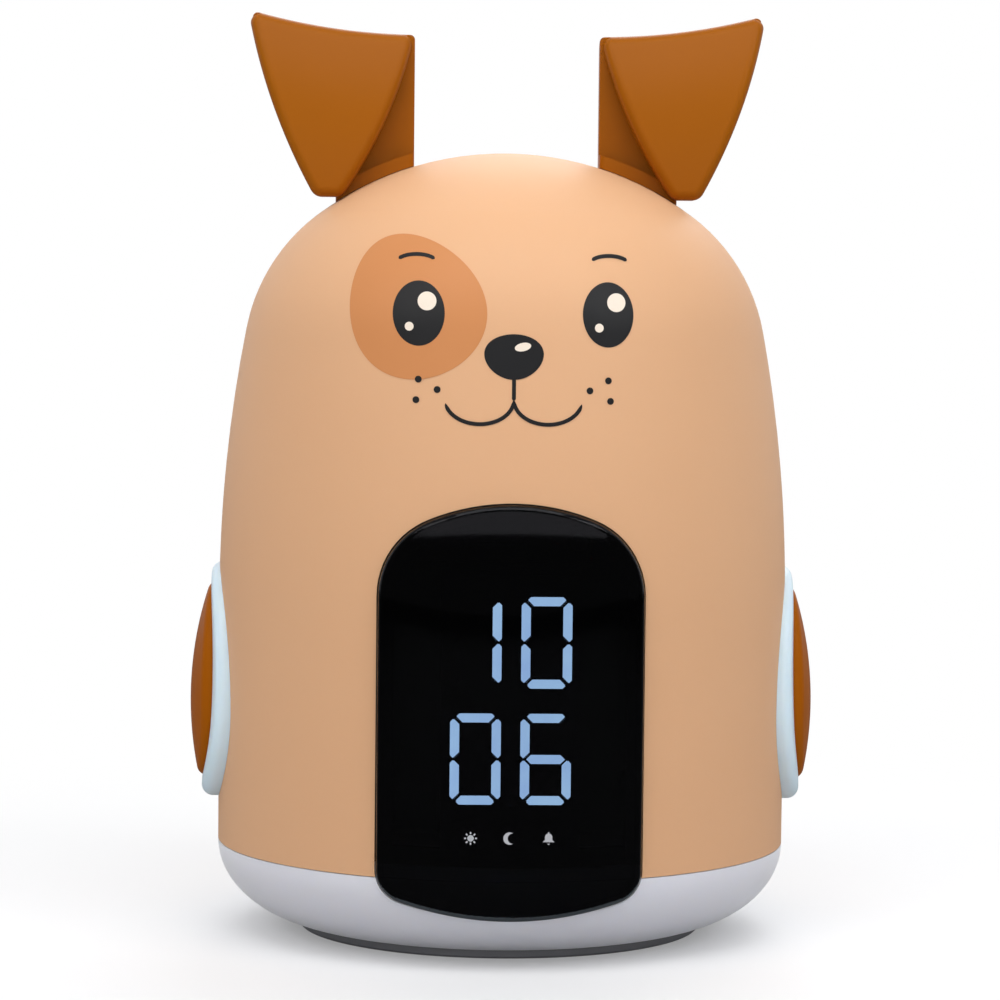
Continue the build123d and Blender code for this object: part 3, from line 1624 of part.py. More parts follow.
if __name__ == "__main__":
    os.makedirs("parts", exist_ok=True)
    makers = [
        dome_shell, ear_right, ear_screws, base_diffuser, foot_ring, bottom_plate, base_screws,
        battery_door, battery_door_screw, battery_cells, cell_springs, cell_plates,
        display_lens, display_frame, digit_block, digit_segments, display_board, display_screws,
        light_ring_left, light_ring_right, button_cap_left, button_cap_right, button_spring_left,
        button_spring_right, side_switch_left, side_switch_right, switch_plunger_left,
        switch_plunger_right, side_board_left, side_board_right, side_leds, side_screws,
        rear_panel, key_mat, slider_knob, slider_switch, power_inlet, rear_board, rear_screws,
        speaker_basket, speaker_cone, speaker_magnet, chassis, chassis_screws, glow_board, glow_leds,
        main_board, main_board_screws, board_parts, display_ribbon, rear_ribbon, battery_leads,
        glow_leads, speaker_leads, side_leads,
    ]
    pieces = {maker.__name__: maker() for maker in makers}
    pieces["ear_left"] = mirrored(pieces["ear_right"])
    for name, place in key_places.items():
        pieces[name] = rear_key(place)
    for name, piece in pieces.items():
        piece.part.label = name
        export_step(piece.part, f"parts/{name}.step")
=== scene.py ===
import bpy
import json
from math import cos, pi, radians, sin, sqrt
from mathutils import Matrix, Vector


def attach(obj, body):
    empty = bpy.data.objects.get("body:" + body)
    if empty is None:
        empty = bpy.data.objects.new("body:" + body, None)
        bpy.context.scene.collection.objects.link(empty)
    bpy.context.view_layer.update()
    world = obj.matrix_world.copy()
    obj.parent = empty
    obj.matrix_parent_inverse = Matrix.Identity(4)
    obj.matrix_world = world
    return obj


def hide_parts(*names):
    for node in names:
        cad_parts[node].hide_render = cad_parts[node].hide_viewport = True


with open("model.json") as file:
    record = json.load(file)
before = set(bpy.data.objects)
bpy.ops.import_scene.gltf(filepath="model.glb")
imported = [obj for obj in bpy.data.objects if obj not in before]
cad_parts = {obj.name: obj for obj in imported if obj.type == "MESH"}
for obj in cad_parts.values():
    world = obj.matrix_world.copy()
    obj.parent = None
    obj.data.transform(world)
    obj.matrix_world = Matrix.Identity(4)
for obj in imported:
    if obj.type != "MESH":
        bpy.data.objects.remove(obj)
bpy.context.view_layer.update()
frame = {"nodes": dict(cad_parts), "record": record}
nodes = frame["nodes"]
print("frame loaded:", len(nodes), "pieces")

mm = 0.001


cameraSetup = {
    "azimuth": -1.9, "distance": 0.700, "height": 0.12647, "pitch": 3.57,
    "roll": 0.577, "sideStep": -0.0006, "lens": 129.6,
}


def makeCamera(setup):
    data = bpy.data.cameras.new("clockCamera")
    camera = bpy.data.objects.new("clockCamera", data)
    bpy.context.scene.collection.objects.link(camera)
    turn = radians(setup["azimuth"])
    pitch = radians(setup["pitch"])
    roll = radians(setup["roll"])
    level = Vector((-sin(turn), cos(turn), 0))
    right = Vector((cos(turn), sin(turn), 0))
    forward = level * cos(pitch) - Vector((0, 0, 1)) * sin(pitch)
    up = right.cross(forward)
    tiltedUp = up * cos(roll) - right * sin(roll)
    tiltedRight = right * cos(roll) + up * sin(roll)
    spot = -level * setup["distance"] + right * setup["sideStep"] + Vector((0, 0, setup["height"]))
    basis = Matrix((tiltedRight, tiltedUp, -forward)).transposed()
    camera.matrix_world = Matrix.Translation(spot) @ basis.to_4x4()
    data.lens = setup["lens"]
    data.sensor_width = 36
    data.clip_start = 0.05
    data.clip_end = 20
    bpy.context.scene.camera = camera


makeCamera(cameraSetup)
print("camera placed")

# the wide card stands low behind the camera, the others hang high
lampSetup = {
    "frontCard": {
        "spot": (0.0, -1.50, 0.425), "aim": (0, 0, 0.425), "size": (2.6, 0.52),
        "power": 5.3, "colour": (0.97, 0.98, 1.0),
    },
    "keyLeft": {
        "spot": (-0.90, -0.75, 0.95), "aim": (0, 0, 0.10), "size": (0.7, 0.5),
        "power": 3.9, "colour": (1.0, 0.985, 0.965),
    },
    "fillRight": {
        "spot": (0.93, -0.70, 0.90), "aim": (0, 0, 0.10), "size": (0.6, 0.5),
        "power": 4.0, "colour": (0.98, 0.99, 1.0),
    },
    "topSoft": {
        "spot": (0.0, -0.42, 0.85), "aim": (0, 0, 0.12), "size": (0.9, 0.6),
        "power": 5.4, "colour": (1.0, 1.0, 1.0),
    },
    "backRim": {
        "spot": (0.25, 0.95, 0.80), "aim": (0, 0, 0.10), "size": (0.8, 0.5),
        "power": 3.4, "colour": (1.0, 1.0, 1.0),
    },
}


def makeLamps(setup):
    for name, lamp in setup.items():
        data = bpy.data.lights.new(name, "AREA")
        data.shape = "RECTANGLE"
        data.size, data.size_y = lamp["size"]
        data.energy = lamp["power"]
        data.color = lamp["colour"]
        thing = bpy.data.objects.new(name, data)
        bpy.context.scene.collection.objects.link(thing)
        spot = Vector(lamp["spot"])
        look = Vector(lamp["aim"]) - spot
        thing.location = spot
        thing.rotation_mode = "QUATERNION"
        thing.rotation_quaternion = look.to_track_quat("-Z", "Y")


makeLamps(lampSetup)
print("lamps hung:", len(lampSetup))


def addNode(tree, kind, spot=(0, 0), **settings):
    node = tree.nodes.new(kind)
    node.location = spot
    for name, value in settings.items():
        setattr(node, name, value)
    return node


def setValue(node, name, value):
    socket = node.inputs[name]
    if hasattr(socket.default_value, "__len__") and len(value) == 3 and len(socket.default_value) == 4:
        value = (*value, 1.0)
    socket.default_value = value


def newMaterial(name):
    material = bpy.data.materials.new(name)
    material.use_nodes = True
    tree = material.node_tree
    tree.nodes.clear()
    out = addNode(tree, "ShaderNodeOutputMaterial", (700, 0))
    shader = addNode(tree, "ShaderNodeBsdfPrincipled", (400, 0))
    tree.links.new(shader.outputs["BSDF"], out.inputs["Surface"])
    return material, tree, shader


def newGroup(name, inputs, outputs):
    group = bpy.data.node_groups.new(name, "ShaderNodeTree")
    for label, kind, value in inputs:
        socket = group.interface.new_socket(label, in_out="INPUT", socket_type=kind)
        socket.default_value = value
    for label, kind in outputs:
        group.interface.new_socket(label, in_out="OUTPUT", socket_type=kind)
    start = addNode(group, "NodeGroupInput", (-900, 0))
    end = addNode(group, "NodeGroupOutput", (700, 0))
    return group, start, end


def placeGroup(tree, group, values, spot=(0, 0)):
    node = addNode(tree, "ShaderNodeGroup", spot, node_tree=group)
    for name, value in values.items():
        setValue(node, name, value)
    return node


colourSocket = "NodeSocketColor"
floatSocket = "NodeSocketFloat"


# moulded plastic: slow colour drift, a fine grain and a roughness that wanders a little
skinPattern = {
    "driftScale": 18.0, "driftDetail": 3.0, "driftFrom": 0.3, "driftTo": 0.7, "grainDetail": 2.0, "speck": 0.2,
}


def makeMouldedGroup(pattern):
    group, start, end = newGroup("mouldedSkin", [
        ("Colour", colourSocket, (0.8, 0.8, 0.8, 1)), ("Shade Colour", colourSocket, (0.7, 0.7, 0.7, 1)),
        ("Drift Scale", floatSocket, pattern["driftScale"]), ("Grain Scale", floatSocket, 1500.0),
        ("Roughness", floatSocket, 0.5), ("Roughness Spread", floatSocket, 0.06),
        ("Speck", floatSocket, pattern["speck"]),
    ], [("Colour", colourSocket), ("Roughness", floatSocket), ("Height", floatSocket)])
    links = group.links
    place = addNode(group, "ShaderNodeTexCoord", (-900, 300))
    drift = addNode(group, "ShaderNodeTexNoise", (-600, 300))
    drift.inputs["Detail"].default_value = pattern["driftDetail"]
    grain = addNode(group, "ShaderNodeTexNoise", (-600, 0))
    grain.inputs["Detail"].default_value = pattern["grainDetail"]
    links.new(place.outputs["Object"], drift.inputs["Vector"])
    links.new(place.outputs["Object"], grain.inputs["Vector"])
    links.new(start.outputs["Drift Scale"], drift.inputs["Scale"])
    links.new(start.outputs["Grain Scale"], grain.inputs["Scale"])
    ramp = addNode(group, "ShaderNodeMapRange", (-400, 300))
    ramp.inputs["From Min"].default_value = pattern["driftFrom"]
    ramp.inputs["From Max"].default_value = pattern["driftTo"]
    links.new(drift.outputs["Fac"], ramp.inputs["Value"])
    speck = addNode(group, "ShaderNodeMath", (-400, 100), operation="MULTIPLY")
    links.new(grain.outputs["Fac"], speck.inputs[0])
    links.new(start.outputs["Speck"], speck.inputs[1])
    share = addNode(group, "ShaderNodeMath", (-200, 200), operation="ADD", use_clamp=True)
    links.new(ramp.outputs["Result"], share.inputs[0])
    links.new(speck.outputs["Value"], share.inputs[1])
    mix = addNode(group, "ShaderNodeMix", (0, 300), data_type="RGBA")
    links.new(share.outputs["Value"], mix.inputs["Factor"])
    links.new(start.outputs["Colour"], mix.inputs["A"])
    links.new(start.outputs["Shade Colour"], mix.inputs["B"])
    links.new(mix.outputs["Result"], end.inputs["Colour"])
    spread = addNode(group, "ShaderNodeMath", (-200, -100), operation="MULTIPLY_ADD")
    centred = addNode(group, "ShaderNodeMath", (-400, -100), operation="SUBTRACT")
    centred.inputs[1].default_value = 0.5
    links.new(ramp.outputs["Result"], centred.inputs[0])
    links.new(centred.outputs["Value"], spread.inputs[0])
    links.new(start.outputs["Roughness Spread"], spread.inputs[1])
    links.new(start.outputs["Roughness"], spread.inputs[2])
    links.new(spread.outputs["Value"], end.inputs["Roughness"])
    links.new(grain.outputs["Fac"], end.inputs["Height"])
    return group


mouldedGroup = makeMouldedGroup(skinPattern)

# what every finish shares, and the finishes themselves, by the record's slots
commonFinish = {
    "bumpStrength": 0.6, "coatRough": 0.08, "sheenRough": 0.4, "plainShine": 0.5,
    "skinReach": (1.0, 0.8, 0.6), "skinDepth": 2 * mm,
}

finishes = {
    "dome": {
        "colour": (0.72, 0.415, 0.23), "shade": (0.705, 0.40, 0.22),
        "rough": 0.50, "spread": 0.05, "grain": 1700, "depth": 0.00002, "shine": 0.22, "skin": 0.10,
    },
    "ear": {
        "colour": (0.335, 0.096, 0.0025), "shade": (0.310, 0.088, 0.0018),
        "rough": 0.36, "spread": 0.04, "grain": 1300, "depth": 0.00001, "shine": 0.09,
    },
    "cap": {
        "colour": (0.360, 0.094, 0.0020), "shade": (0.335, 0.086, 0.0015),
        "rough": 0.38, "spread": 0.04, "grain": 1300, "depth": 0.00001, "shine": 0.04,
    },
    "ring": {
        "colour": (0.71, 0.86, 0.95), "shade": (0.68, 0.83, 0.92),
        "rough": 0.32, "spread": 0.05, "grain": 1400, "depth": 0.00001, "shine": 0.4, "skin": 0.25,
    },
    "diffuser": {
        "colour": (0.77, 0.77, 0.825), "shade": (0.745, 0.745, 0.80),
        "rough": 0.38, "spread": 0.05, "grain": 1600, "depth": 0.00001,
        "shine": 0.5, "skin": 0.25, "sheen": 0.7,
    },
    "black_plastic": {
        "colour": (0.012, 0.012, 0.013), "shade": (0.016, 0.016, 0.018),
        "rough": 0.55, "spread": 0.1, "grain": 1200, "depth": 0.00002,
    },
    "white_plastic": {
        "colour": (0.66, 0.66, 0.65), "shade": (0.62, 0.62, 0.61),
        "rough": 0.5, "spread": 0.08, "grain": 1200, "depth": 0.00002,
    },
    "foot_rubber": {
        "colour": (0.26, 0.26, 0.27), "shade": (0.22, 0.22, 0.23),
        "rough": 0.75, "spread": 0.1, "grain": 1500, "depth": 0.00004,
    },
    "mat_rubber": {
        "colour": (0.52, 0.52, 0.50), "shade": (0.48, 0.48, 0.46),
        "rough": 0.7, "spread": 0.1, "grain": 1500, "depth": 0.00003,
    },
    "key_rubber": {
        "colour": (0.37, 0.105, 0.004), "shade": (0.345, 0.096, 0.003),
        "rough": 0.38, "spread": 0.06, "grain": 1300, "depth": 0.00001, "shine": 0.25,
    },
    "board": {
        "colour": (0.012, 0.06, 0.03), "shade": (0.016, 0.085, 0.04),
        "rough": 0.4, "spread": 0.1, "grain": 900, "depth": 0.00002, "coat": 0.3,
    },
    "board_trim": {
        "colour": (0.02, 0.02, 0.022), "shade": (0.03, 0.03, 0.03),
        "rough": 0.5, "spread": 0.1, "grain": 900, "depth": 0.00002,
    },
    "led": {
        "colour": (0.85, 0.80, 0.48), "shade": (0.80, 0.74, 0.40),
        "rough": 0.2, "spread": 0.05, "grain": 900, "depth": 0.00001, "coat": 0.3,
    },
    "cell_wrap": {
        "colour": (0.03, 0.05, 0.08), "shade": (0.04, 0.06, 0.10),
        "rough": 0.3, "spread": 0.05, "grain": 900, "depth": 0.00001, "coat": 0.3,
    },
    "paper_cone": {
        "colour": (0.012, 0.012, 0.012), "shade": (0.02, 0.02, 0.02),
        "rough": 0.8, "spread": 0.1, "grain": 1100, "depth": 0.00005,
    },
    "magnet": {
        "colour": (0.10, 0.10, 0.11), "shade": (0.08, 0.08, 0.09),
        "rough": 0.45, "spread": 0.1, "grain": 900, "depth": 0.00002, "metal": 0.8,
    },
    "lead_wrap": {
        "colour": (0.42, 0.02, 0.015), "shade": (0.36, 0.016, 0.012),
        "rough": 0.45, "spread": 0.06, "grain": 1100, "depth": 0.00001,
    },
    "ribbon_wrap": {
        "colour": (0.36, 0.36, 0.38), "shade": (0.30, 0.30, 0.32),
        "rough": 0.5, "spread": 0.06, "grain": 1100, "depth": 0.00001,
    },
    "screw_steel": {
        "colour": (0.50, 0.50, 0.52), "shade": (0.42, 0.42, 0.44),
        "rough": 0.34, "spread": 0.1, "grain": 2600, "depth": 0.00001, "metal": 1.0,
    },
    "spring_steel": {
        "colour": (0.55, 0.55, 0.57), "shade": (0.47, 0.47, 0.49),
        "rough": 0.28, "spread": 0.08, "grain": 2600, "depth": 0.00001, "metal": 1.0,
    },
    "inlet_metal": {
        "colour": (0.55, 0.55, 0.57), "shade": (0.47, 0.47, 0.49),
        "rough": 0.28, "spread": 0.08, "grain": 2600, "depth": 0.00001, "metal": 1.0,
    },
    "basket_steel": {
        "colour": (0.42, 0.42, 0.44), "shade": (0.36, 0.36, 0.38),
        "rough": 0.35, "spread": 0.08, "grain": 2600, "depth": 0.00001, "metal": 1.0,
    },
}


def makePlastic(name, look):
    material, tree, shader = newMaterial(name)
    skin = placeGroup(tree, mouldedGroup, {
        "Colour": look["colour"], "Shade Colour": look["shade"], "Roughness": look["rough"],
        "Roughness Spread": look["spread"], "Grain Scale": look["grain"],
    }, (-200, 0))
    bump = addNode(tree, "ShaderNodeBump", (100, -300))
    bump.inputs["Distance"].default_value = look["depth"]
    bump.inputs["Strength"].default_value = commonFinish["bumpStrength"]
    tree.links.new(skin.outputs["Height"], bump.inputs["Height"])
    tree.links.new(bump.outputs["Normal"], shader.inputs["Normal"])
    tree.links.new(skin.outputs["Colour"], shader.inputs["Base Color"])
    tree.links.new(skin.outputs["Roughness"], shader.inputs["Roughness"])
    shader.inputs["Metallic"].default_value = look.get("metal", 0.0)
    shader.inputs["Coat Weight"].default_value = look.get("coat", 0.0)
    shader.inputs["Coat Roughness"].default_value = commonFinish["coatRough"]
    shader.inputs["Specular IOR Level"].default_value = look.get("shine", commonFinish["plainShine"])
    shader.inputs["Sheen Weight"].default_value = look.get("sheen", 0.0)
    shader.inputs["Sheen Roughness"].default_value = commonFinish["sheenRough"]
    if look.get("skin"):
        shader.inputs["Subsurface Weight"].default_value = look["skin"]
        shader.inputs["Subsurface Radius"].default_value = commonFinish["skinReach"]
        shader.inputs["Subsurface Scale"].default_value = commonFinish["skinDepth"]
    return material


materials = {name: makePlastic(name, look) for name, look in finishes.items()}
print("plastics, rubbers and metals made:", len(materials))

# signs printed on the rear keys: bell, clock, minus and plus; bars are (x, z, half width, half height) and
# discs (x, z, outer radius, inner radius, below nought where the disc is full), all in mm
keySigns = {
    "ink": (0.78, 0.70, 0.58),
    "bars": (
        (-10.0, 65.5, 1.5, 0.26), (10.0, 65.5, 1.5, 0.26), (10.0, 65.5, 0.26, 1.5),
        (-10.0, 77.0, 0.85, 0.45), (-10.0, 76.38, 1.25, 0.2),
        (10.0, 77.42, 0.16, 0.55), (9.6, 77.0, 0.5, 0.16),
    ),
    "discs": ((-10.0, 77.45, 0.85, -1.0), (-10.0, 75.9, 0.28, -1.0), (10.0, 77.0, 1.6, 1.25)),
}


def makeSignGroup(look):
    group, start, end = newGroup("keySigns", [], [("Mask", floatSocket)])
    links = group.links
    place = addNode(group, "ShaderNodeTexCoord", (-900, 0))
    parts = addNode(group, "ShaderNodeSeparateXYZ", (-700, 0))
    flat = addNode(group, "ShaderNodeCombineXYZ", (-500, 0))
    links.new(place.outputs["Object"], parts.inputs[0])
    links.new(parts.outputs["X"], flat.inputs["X"])
    links.new(parts.outputs["Z"], flat.inputs["Z"])

    def compute(operation, first, second, third=None):
        node = addNode(group, "ShaderNodeMath", (0, 0), operation=operation)
        for number, value in enumerate((first, second, third)):
            if isinstance(value, float):
                node.inputs[number].default_value = value
            elif value is not None:
                links.new(value, node.inputs[number])
        return node.outputs["Value"]

    shapes = []
    for x, z, halfX, halfZ in look["bars"]:
        across = compute("COMPARE", parts.outputs["X"], x * mm, halfX * mm)
        along = compute("COMPARE", parts.outputs["Z"], z * mm, halfZ * mm)
        shapes.append(compute("MULTIPLY", across, along))
    for x, z, outer, inner in look["discs"]:
        gap = addNode(group, "ShaderNodeVectorMath", (-300, 0), operation="DISTANCE")
        gap.inputs[1].default_value = (x * mm, 0, z * mm)
        links.new(flat.outputs["Vector"], gap.inputs[0])
        within = compute("LESS_THAN", gap.outputs["Value"], outer * mm)
        beyond = compute("GREATER_THAN", gap.outputs["Value"], inner * mm)
        shapes.append(compute("MULTIPLY", within, beyond))
    mask = shapes[0]
    for shape in shapes[1:]:
        mask = compute("MAXIMUM", mask, shape)
    links.new(mask, end.inputs["Mask"])
    return group


def printSigns(material, look):
    tree = material.node_tree
    shader = tree.nodes["Principled BSDF"]
    signs = placeGroup(tree, makeSignGroup(look), {}, (-200, 400))
    mix = addNode(tree, "ShaderNodeMix", (150, 300), data_type="RGBA")
    plain = shader.inputs["Base Color"].links[0].from_socket
    tree.links.new(signs.outputs["Mask"], mix.inputs["Factor"])
    tree.links.new(plain, mix.inputs["A"])
    setValue(mix, "B", look["ink"])
    tree.links.new(mix.outputs["Result"], shader.inputs["Base Color"])


printSigns(materials["key_rubber"], keySigns)


# smoked window, clear enough for lit bars and dark for all the rest
glassLook = {
    "tint": (0.055, 0.056, 0.060), "rough": 0.03, "roughSpread": 0.01, "grain": 900.0, "bend": 1.46,
    "gloss": (0.30, 0.30, 0.32), "shadeShare": 0.9,
}


def makeLensGlass(look):
    material, tree, shader = newMaterial("lens")
    skin = placeGroup(tree, mouldedGroup, {
        "Colour": look["tint"], "Shade Colour": tuple(value * look["shadeShare"] for value in look["tint"]),
        "Roughness": look["rough"], "Roughness Spread": look["roughSpread"], "Grain Scale": look["grain"],
    }, (-200, 0))
    tree.links.new(skin.outputs["Colour"], shader.inputs["Base Color"])
    tree.links.new(skin.outputs["Roughness"], shader.inputs["Roughness"])
    shader.inputs["Transmission Weight"].default_value = 1.0
    shader.inputs["IOR"].default_value = look["bend"]
    setValue(shader, "Specular Tint", look["gloss"])
    return material


materials["lens"] = makeLensGlass(glassLook)

# display bars: lit, dark, and the small signs under them
glowCommon = {"patchScale": 140.0, "rough": 0.4}
glowLooks = {
    "lit_segment": {"bright": (0.48, 0.76, 0.98), "dim": (0.32, 0.50, 0.88), "strength": 13.0},
    "legendGlow": {"bright": (0.80, 0.80, 0.80), "dim": (0.70, 0.70, 0.70), "strength": 11.0},
    "darkSegment": {"bright": (0.030, 0.032, 0.036), "dim": (0.022, 0.024, 0.028), "strength": 0.0},
}


def makeGlow(name, look):
    material, tree, shader = newMaterial(name)
    place = addNode(tree, "ShaderNodeTexCoord", (-700, 0))
    patch = addNode(tree, "ShaderNodeTexNoise", (-500, 0))
    patch.inputs["Scale"].default_value = glowCommon["patchScale"]
    mix = addNode(tree, "ShaderNodeMix", (-200, 0), data_type="RGBA")
    setValue(mix, "A", look["dim"])
    setValue(mix, "B", look["bright"])
    tree.links.new(place.outputs["Object"], patch.inputs["Vector"])
    tree.links.new(patch.outputs["Fac"], mix.inputs["Factor"])
    tree.links.new(mix.outputs["Result"], shader.inputs["Base Color"])
    if look["strength"]:
        tree.links.new(mix.outputs["Result"], shader.inputs["Emission Color"])
    shader.inputs["Emission Strength"].default_value = look["strength"]
    shader.inputs["Roughness"].default_value = glowCommon["rough"]
    return material


for name, look in glowLooks.items():
    materials[name] = makeGlow(name, look)
print("window and display looks made")


# carried-over CAD pieces take the finish of their slot
slotOf = {entry["node"]: entry["material_slot"] for entry in frame["record"]["subparts"]}


def dressNodes():
    for name, thing in nodes.items():
        thing.data.materials.clear()
        thing.data.materials.append(materials[slotOf[name]])
        for face in thing.data.polygons:
            face.material_index = 0


dressNodes()
print("carried-over pieces dressed")

# the window's lower rounded rim gets a grey colour on its downward faces, a painted highlight standing in for
# the light the rim catches, so it shows as a thin grey band
paintedRimHighlightLook = {
    "colour": (0.050, 0.060, 0.068), "shade": (0.042, 0.051, 0.058), "rough": 0.36, "spread": 0.05,
    "grain": 900, "depth": 0.00001, "downward": -0.30, "below": 28,
}


def paintLowerRimHighlight(look):
    lens = nodes["display_lens"]
    lens.data.materials.append(makePlastic("lensRimPaintedHighlight", look))
    turn = lens.matrix_world.to_3x3()
    for face in lens.data.polygons:
        middle = lens.matrix_world @ face.center
        # downward faces low on the window take the grey painted highlight
        if (turn @ face.normal).z < look["downward"] and middle.z < look["below"] * mm:
            face.material_index = 1


paintLowerRimHighlight(paintedRimHighlightLook)


# the dome's outer line in mm, used to lay prints on it
domeForm = {
    "sideRadius": 55.0, "straightTop": 64.0, "bowRadius": 275.0, "bowTurn": 10.9,
    "shoulderRadius": 36.0, "shoulderTurn": 53.7, "slopeStep": 0.05,
}


def domeArcs(form):
    bowCentre = (form["sideRadius"] - form["bowRadius"], form["straightTop"])
    bowTurn = radians(form["bowTurn"])
    bowEnd = tuple(
        centre + form["bowRadius"] * share for centre, share in zip(bowCentre, (cos(bowTurn), sin(bowTurn)))
    )
    step = form["shoulderRadius"]
    shoulderCentre = (bowEnd[0] - step * cos(bowTurn), bowEnd[1] - step * sin(bowTurn))
    turn = radians(form["shoulderTurn"])
    shoulderEnd = (shoulderCentre[0] + step * cos(turn), shoulderCentre[1] + step * sin(turn))
    crownRadius = shoulderEnd[0] / cos(turn)
    crownCentre = (0.0, shoulderEnd[1] - crownRadius * sin(turn))
    return bowCentre, bowEnd, shoulderCentre, shoulderEnd, crownCentre, crownRadius


bowCentre, bowEnd, shoulderCentre, shoulderEnd, crownCentre, crownRadius = domeArcs(domeForm)


def domeRadiusAt(z):
    if z <= domeForm["straightTop"]:
        return domeForm["sideRadius"]
    if z <= bowEnd[1]:
        return bowCentre[0] + sqrt(domeForm["bowRadius"] ** 2 - (z - bowCentre[1]) ** 2)
    if z <= shoulderEnd[1]:
        return shoulderCentre[0] + sqrt(domeForm["shoulderRadius"] ** 2 - (z - shoulderCentre[1]) ** 2)
    return sqrt(max(0.0, crownRadius ** 2 - (z - crownCentre[1]) ** 2))


def domePoint(x, z, lift):
    radius = domeRadiusAt(z)
    y = -sqrt(max(0.0, radius * radius - x * x))
    step = domeForm["slopeStep"]
    slope = (domeRadiusAt(z + step) - domeRadiusAt(z - step)) / (2 * step)
    outward = Vector((x / radius, y / radius, -slope)).normalized()
    return (Vector((x, y, z)) + outward * lift) * mm


def linkMesh(name, points, faces, material, body="clock_body", smooth=True):
    mesh = bpy.data.meshes.new(name)
    mesh.from_pydata([tuple(point) for point in points], [], faces)
    mesh.update()
    if smooth:
        mesh.shade_smooth()
    mesh.materials.append(material)
    thing = bpy.data.objects.new(name, mesh)
    bpy.context.scene.collection.objects.link(thing)
    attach(thing, body)
    return thing


# display bars: lit ones show a plain time, the rest stay dark; small signs stand under them
digitLook = {
    "frontY": -52.3, "depth": 1.2, "edge": 0.08, "width": 9.1, "height": 16.6, "bar": 1.65, "gap": 0.25,
    "pitchX": 12.6, "pitchZ": 21.15, "midZ": 49.7, "tipShift": 0.2, "rows": ("10", "06"),
    "legendZ": 24.7, "legendPitch": 7.0, "legendSize": (3.0, 2.4), "signDepth": 0.12, "signEdge": 0.02,
}

barsOf = {
    "0": "abcdef", "1": "bc", "2": "abdeg", "3": "abcdg", "4": "bcfg",
    "5": "acdfg", "6": "acdefg", "7": "abc", "8": "abcdefg", "9": "abcdfg",
}


def barOutline(look, letter, x, z):
    reach = look["width"] / 2 - look["bar"] / 2
    rise = (look["height"] - look["bar"]) / 2
    half = look["bar"] / 2
    shift = look["bar"] * look["tipShift"]
    if letter in "agd":
        length = reach - look["gap"]
        level = {"a": 1, "g": 0, "d": -1}[letter]
        outer = level if level else 1
        tip = shift * level
        flat = length - half
        wide = flat + tip * outer
        narrow = flat - tip * outer
        corners = [
            (-length, tip), (-wide, half * outer), (wide, half * outer),
            (length, tip), (narrow, -half * outer), (-narrow, -half * outer),
        ]
        return [(x + across, z + level * rise + along) for across, along in corners]
    side = 1 if letter in "bc" else -1
    level = 1 if letter in "bf" else -1
    length = rise / 2 - look["gap"] / 2
    flat = length - half
    tip = shift * side
    wide = flat + shift
    narrow = flat - shift
    corners = [
        (tip, -length), (half * side, -wide), (half * side, wide),
        (tip, length), (-half * side, narrow), (-half * side, -narrow),
    ]
    return [(x + side * reach + across, z + level * rise / 2 + along) for across, along in corners]


def turnsLeft(outline):
    after = [*outline[1:], outline[0]]
    return sum(x * nextZ - nextX * z for (x, z), (nextX, nextZ) in zip(outline, after)) >= 0


# closed plate with a small chamfer round its front
def addPlate(points, faces, outline, frontY, backY, edge):
    centre = (sum(x for x, z in outline) / len(outline), sum(z for x, z in outline) / len(outline))
    if not turnsLeft(outline):
        outline = list(reversed(outline))
    count = len(outline)
    start = len(points)
    for depth, inset in ((frontY, edge), (frontY + edge, 0), (backY, 0)):
        for x, z in outline:
            away = Vector((x - centre[0], z - centre[1]))
            pull = away.normalized() * min(inset, away.length * 0.5) if away.length else away
            points.append(Vector((x - pull.x, depth, z - pull.y)) * mm)
    faces.append(tuple(range(start, start + count)))
    faces.append(tuple(reversed(range(start + 2 * count, start + 3 * count))))
    for layer in (0, 1):
        low = start + layer * count
        for step in range(count):
            after = (step + 1) % count
            faces.append((low + after, low + step, low + count + step, low + count + after))


def ringOutline(centre, radius, count=32, startTurn=0, sweep=360):
    closed = sweep == 360
    steps = count if closed else count + 1
    outline = []
    for step in range(steps):
        turn = radians(startTurn + sweep * step / count)
        outline.append((centre[0] + radius * cos(turn), centre[1] + radius * sin(turn)))
    return outline


# the small signs under the digits, in mm from each sign's middle and degrees
sunLook = {"disc": 0.58, "rays": 8, "rayIn": 0.78, "rayOut": 1.16, "rayHalf": 0.13}
moonLook = {
    "count": 24, "radius": 1.12, "start": 60, "sweep": 240,
    "biteX": 0.62, "biteRadius": 0.97, "biteStart": 268, "biteSweep": -176,
}
bellLook = {
    "crownZ": 0.28, "crownRadius": 0.66, "waistZ": 0.25, "brimHalf": 1.05, "brimZ": 0.62,
    "clapperZ": 0.90, "clapperRadius": 0.20, "knobZ": 1.06, "knobRadius": 0.14,
}


def sunSign(x, z):
    look = sunLook
    outlines = [ringOutline((x, z), look["disc"])]
    for ray in range(look["rays"]):
        turn = radians(360 / look["rays"] * ray)
        along = Vector((cos(turn), sin(turn)))
        side = Vector((-along.y, along.x)) * look["rayHalf"]
        inner = along * look["rayIn"]
        outer = along * look["rayOut"]
        corners = (inner - side, outer - side, outer + side, inner + side)
        outlines.append([(x + spot.x, z + spot.y) for spot in corners])
    return outlines


def moonSign(x, z):
    look = moonLook
    outer = ringOutline((x, z), look["radius"], look["count"], look["start"], look["sweep"])
    bite = (x + look["biteX"], z)
    inner = ringOutline(bite, look["biteRadius"], look["count"], look["biteStart"], look["biteSweep"])
    return [[*outer, *inner]]


def bellSign(x, z):
    look = bellLook
    crown = ringOutline((x, z + look["crownZ"]), look["crownRadius"], 16, 0, 180)
    waist = z - look["waistZ"]
    brim = z - look["brimZ"]
    skirt = [
        (x - look["crownRadius"], waist), (x - look["brimHalf"], brim),
        (x + look["brimHalf"], brim), (x + look["crownRadius"], waist),
    ]
    clapper = ringOutline((x, z - look["clapperZ"]), look["clapperRadius"], 12, 180, 180)
    knob = ringOutline((x, z + look["knobZ"]), look["knobRadius"], 12)
    return [[*crown, *skirt], clapper, knob]


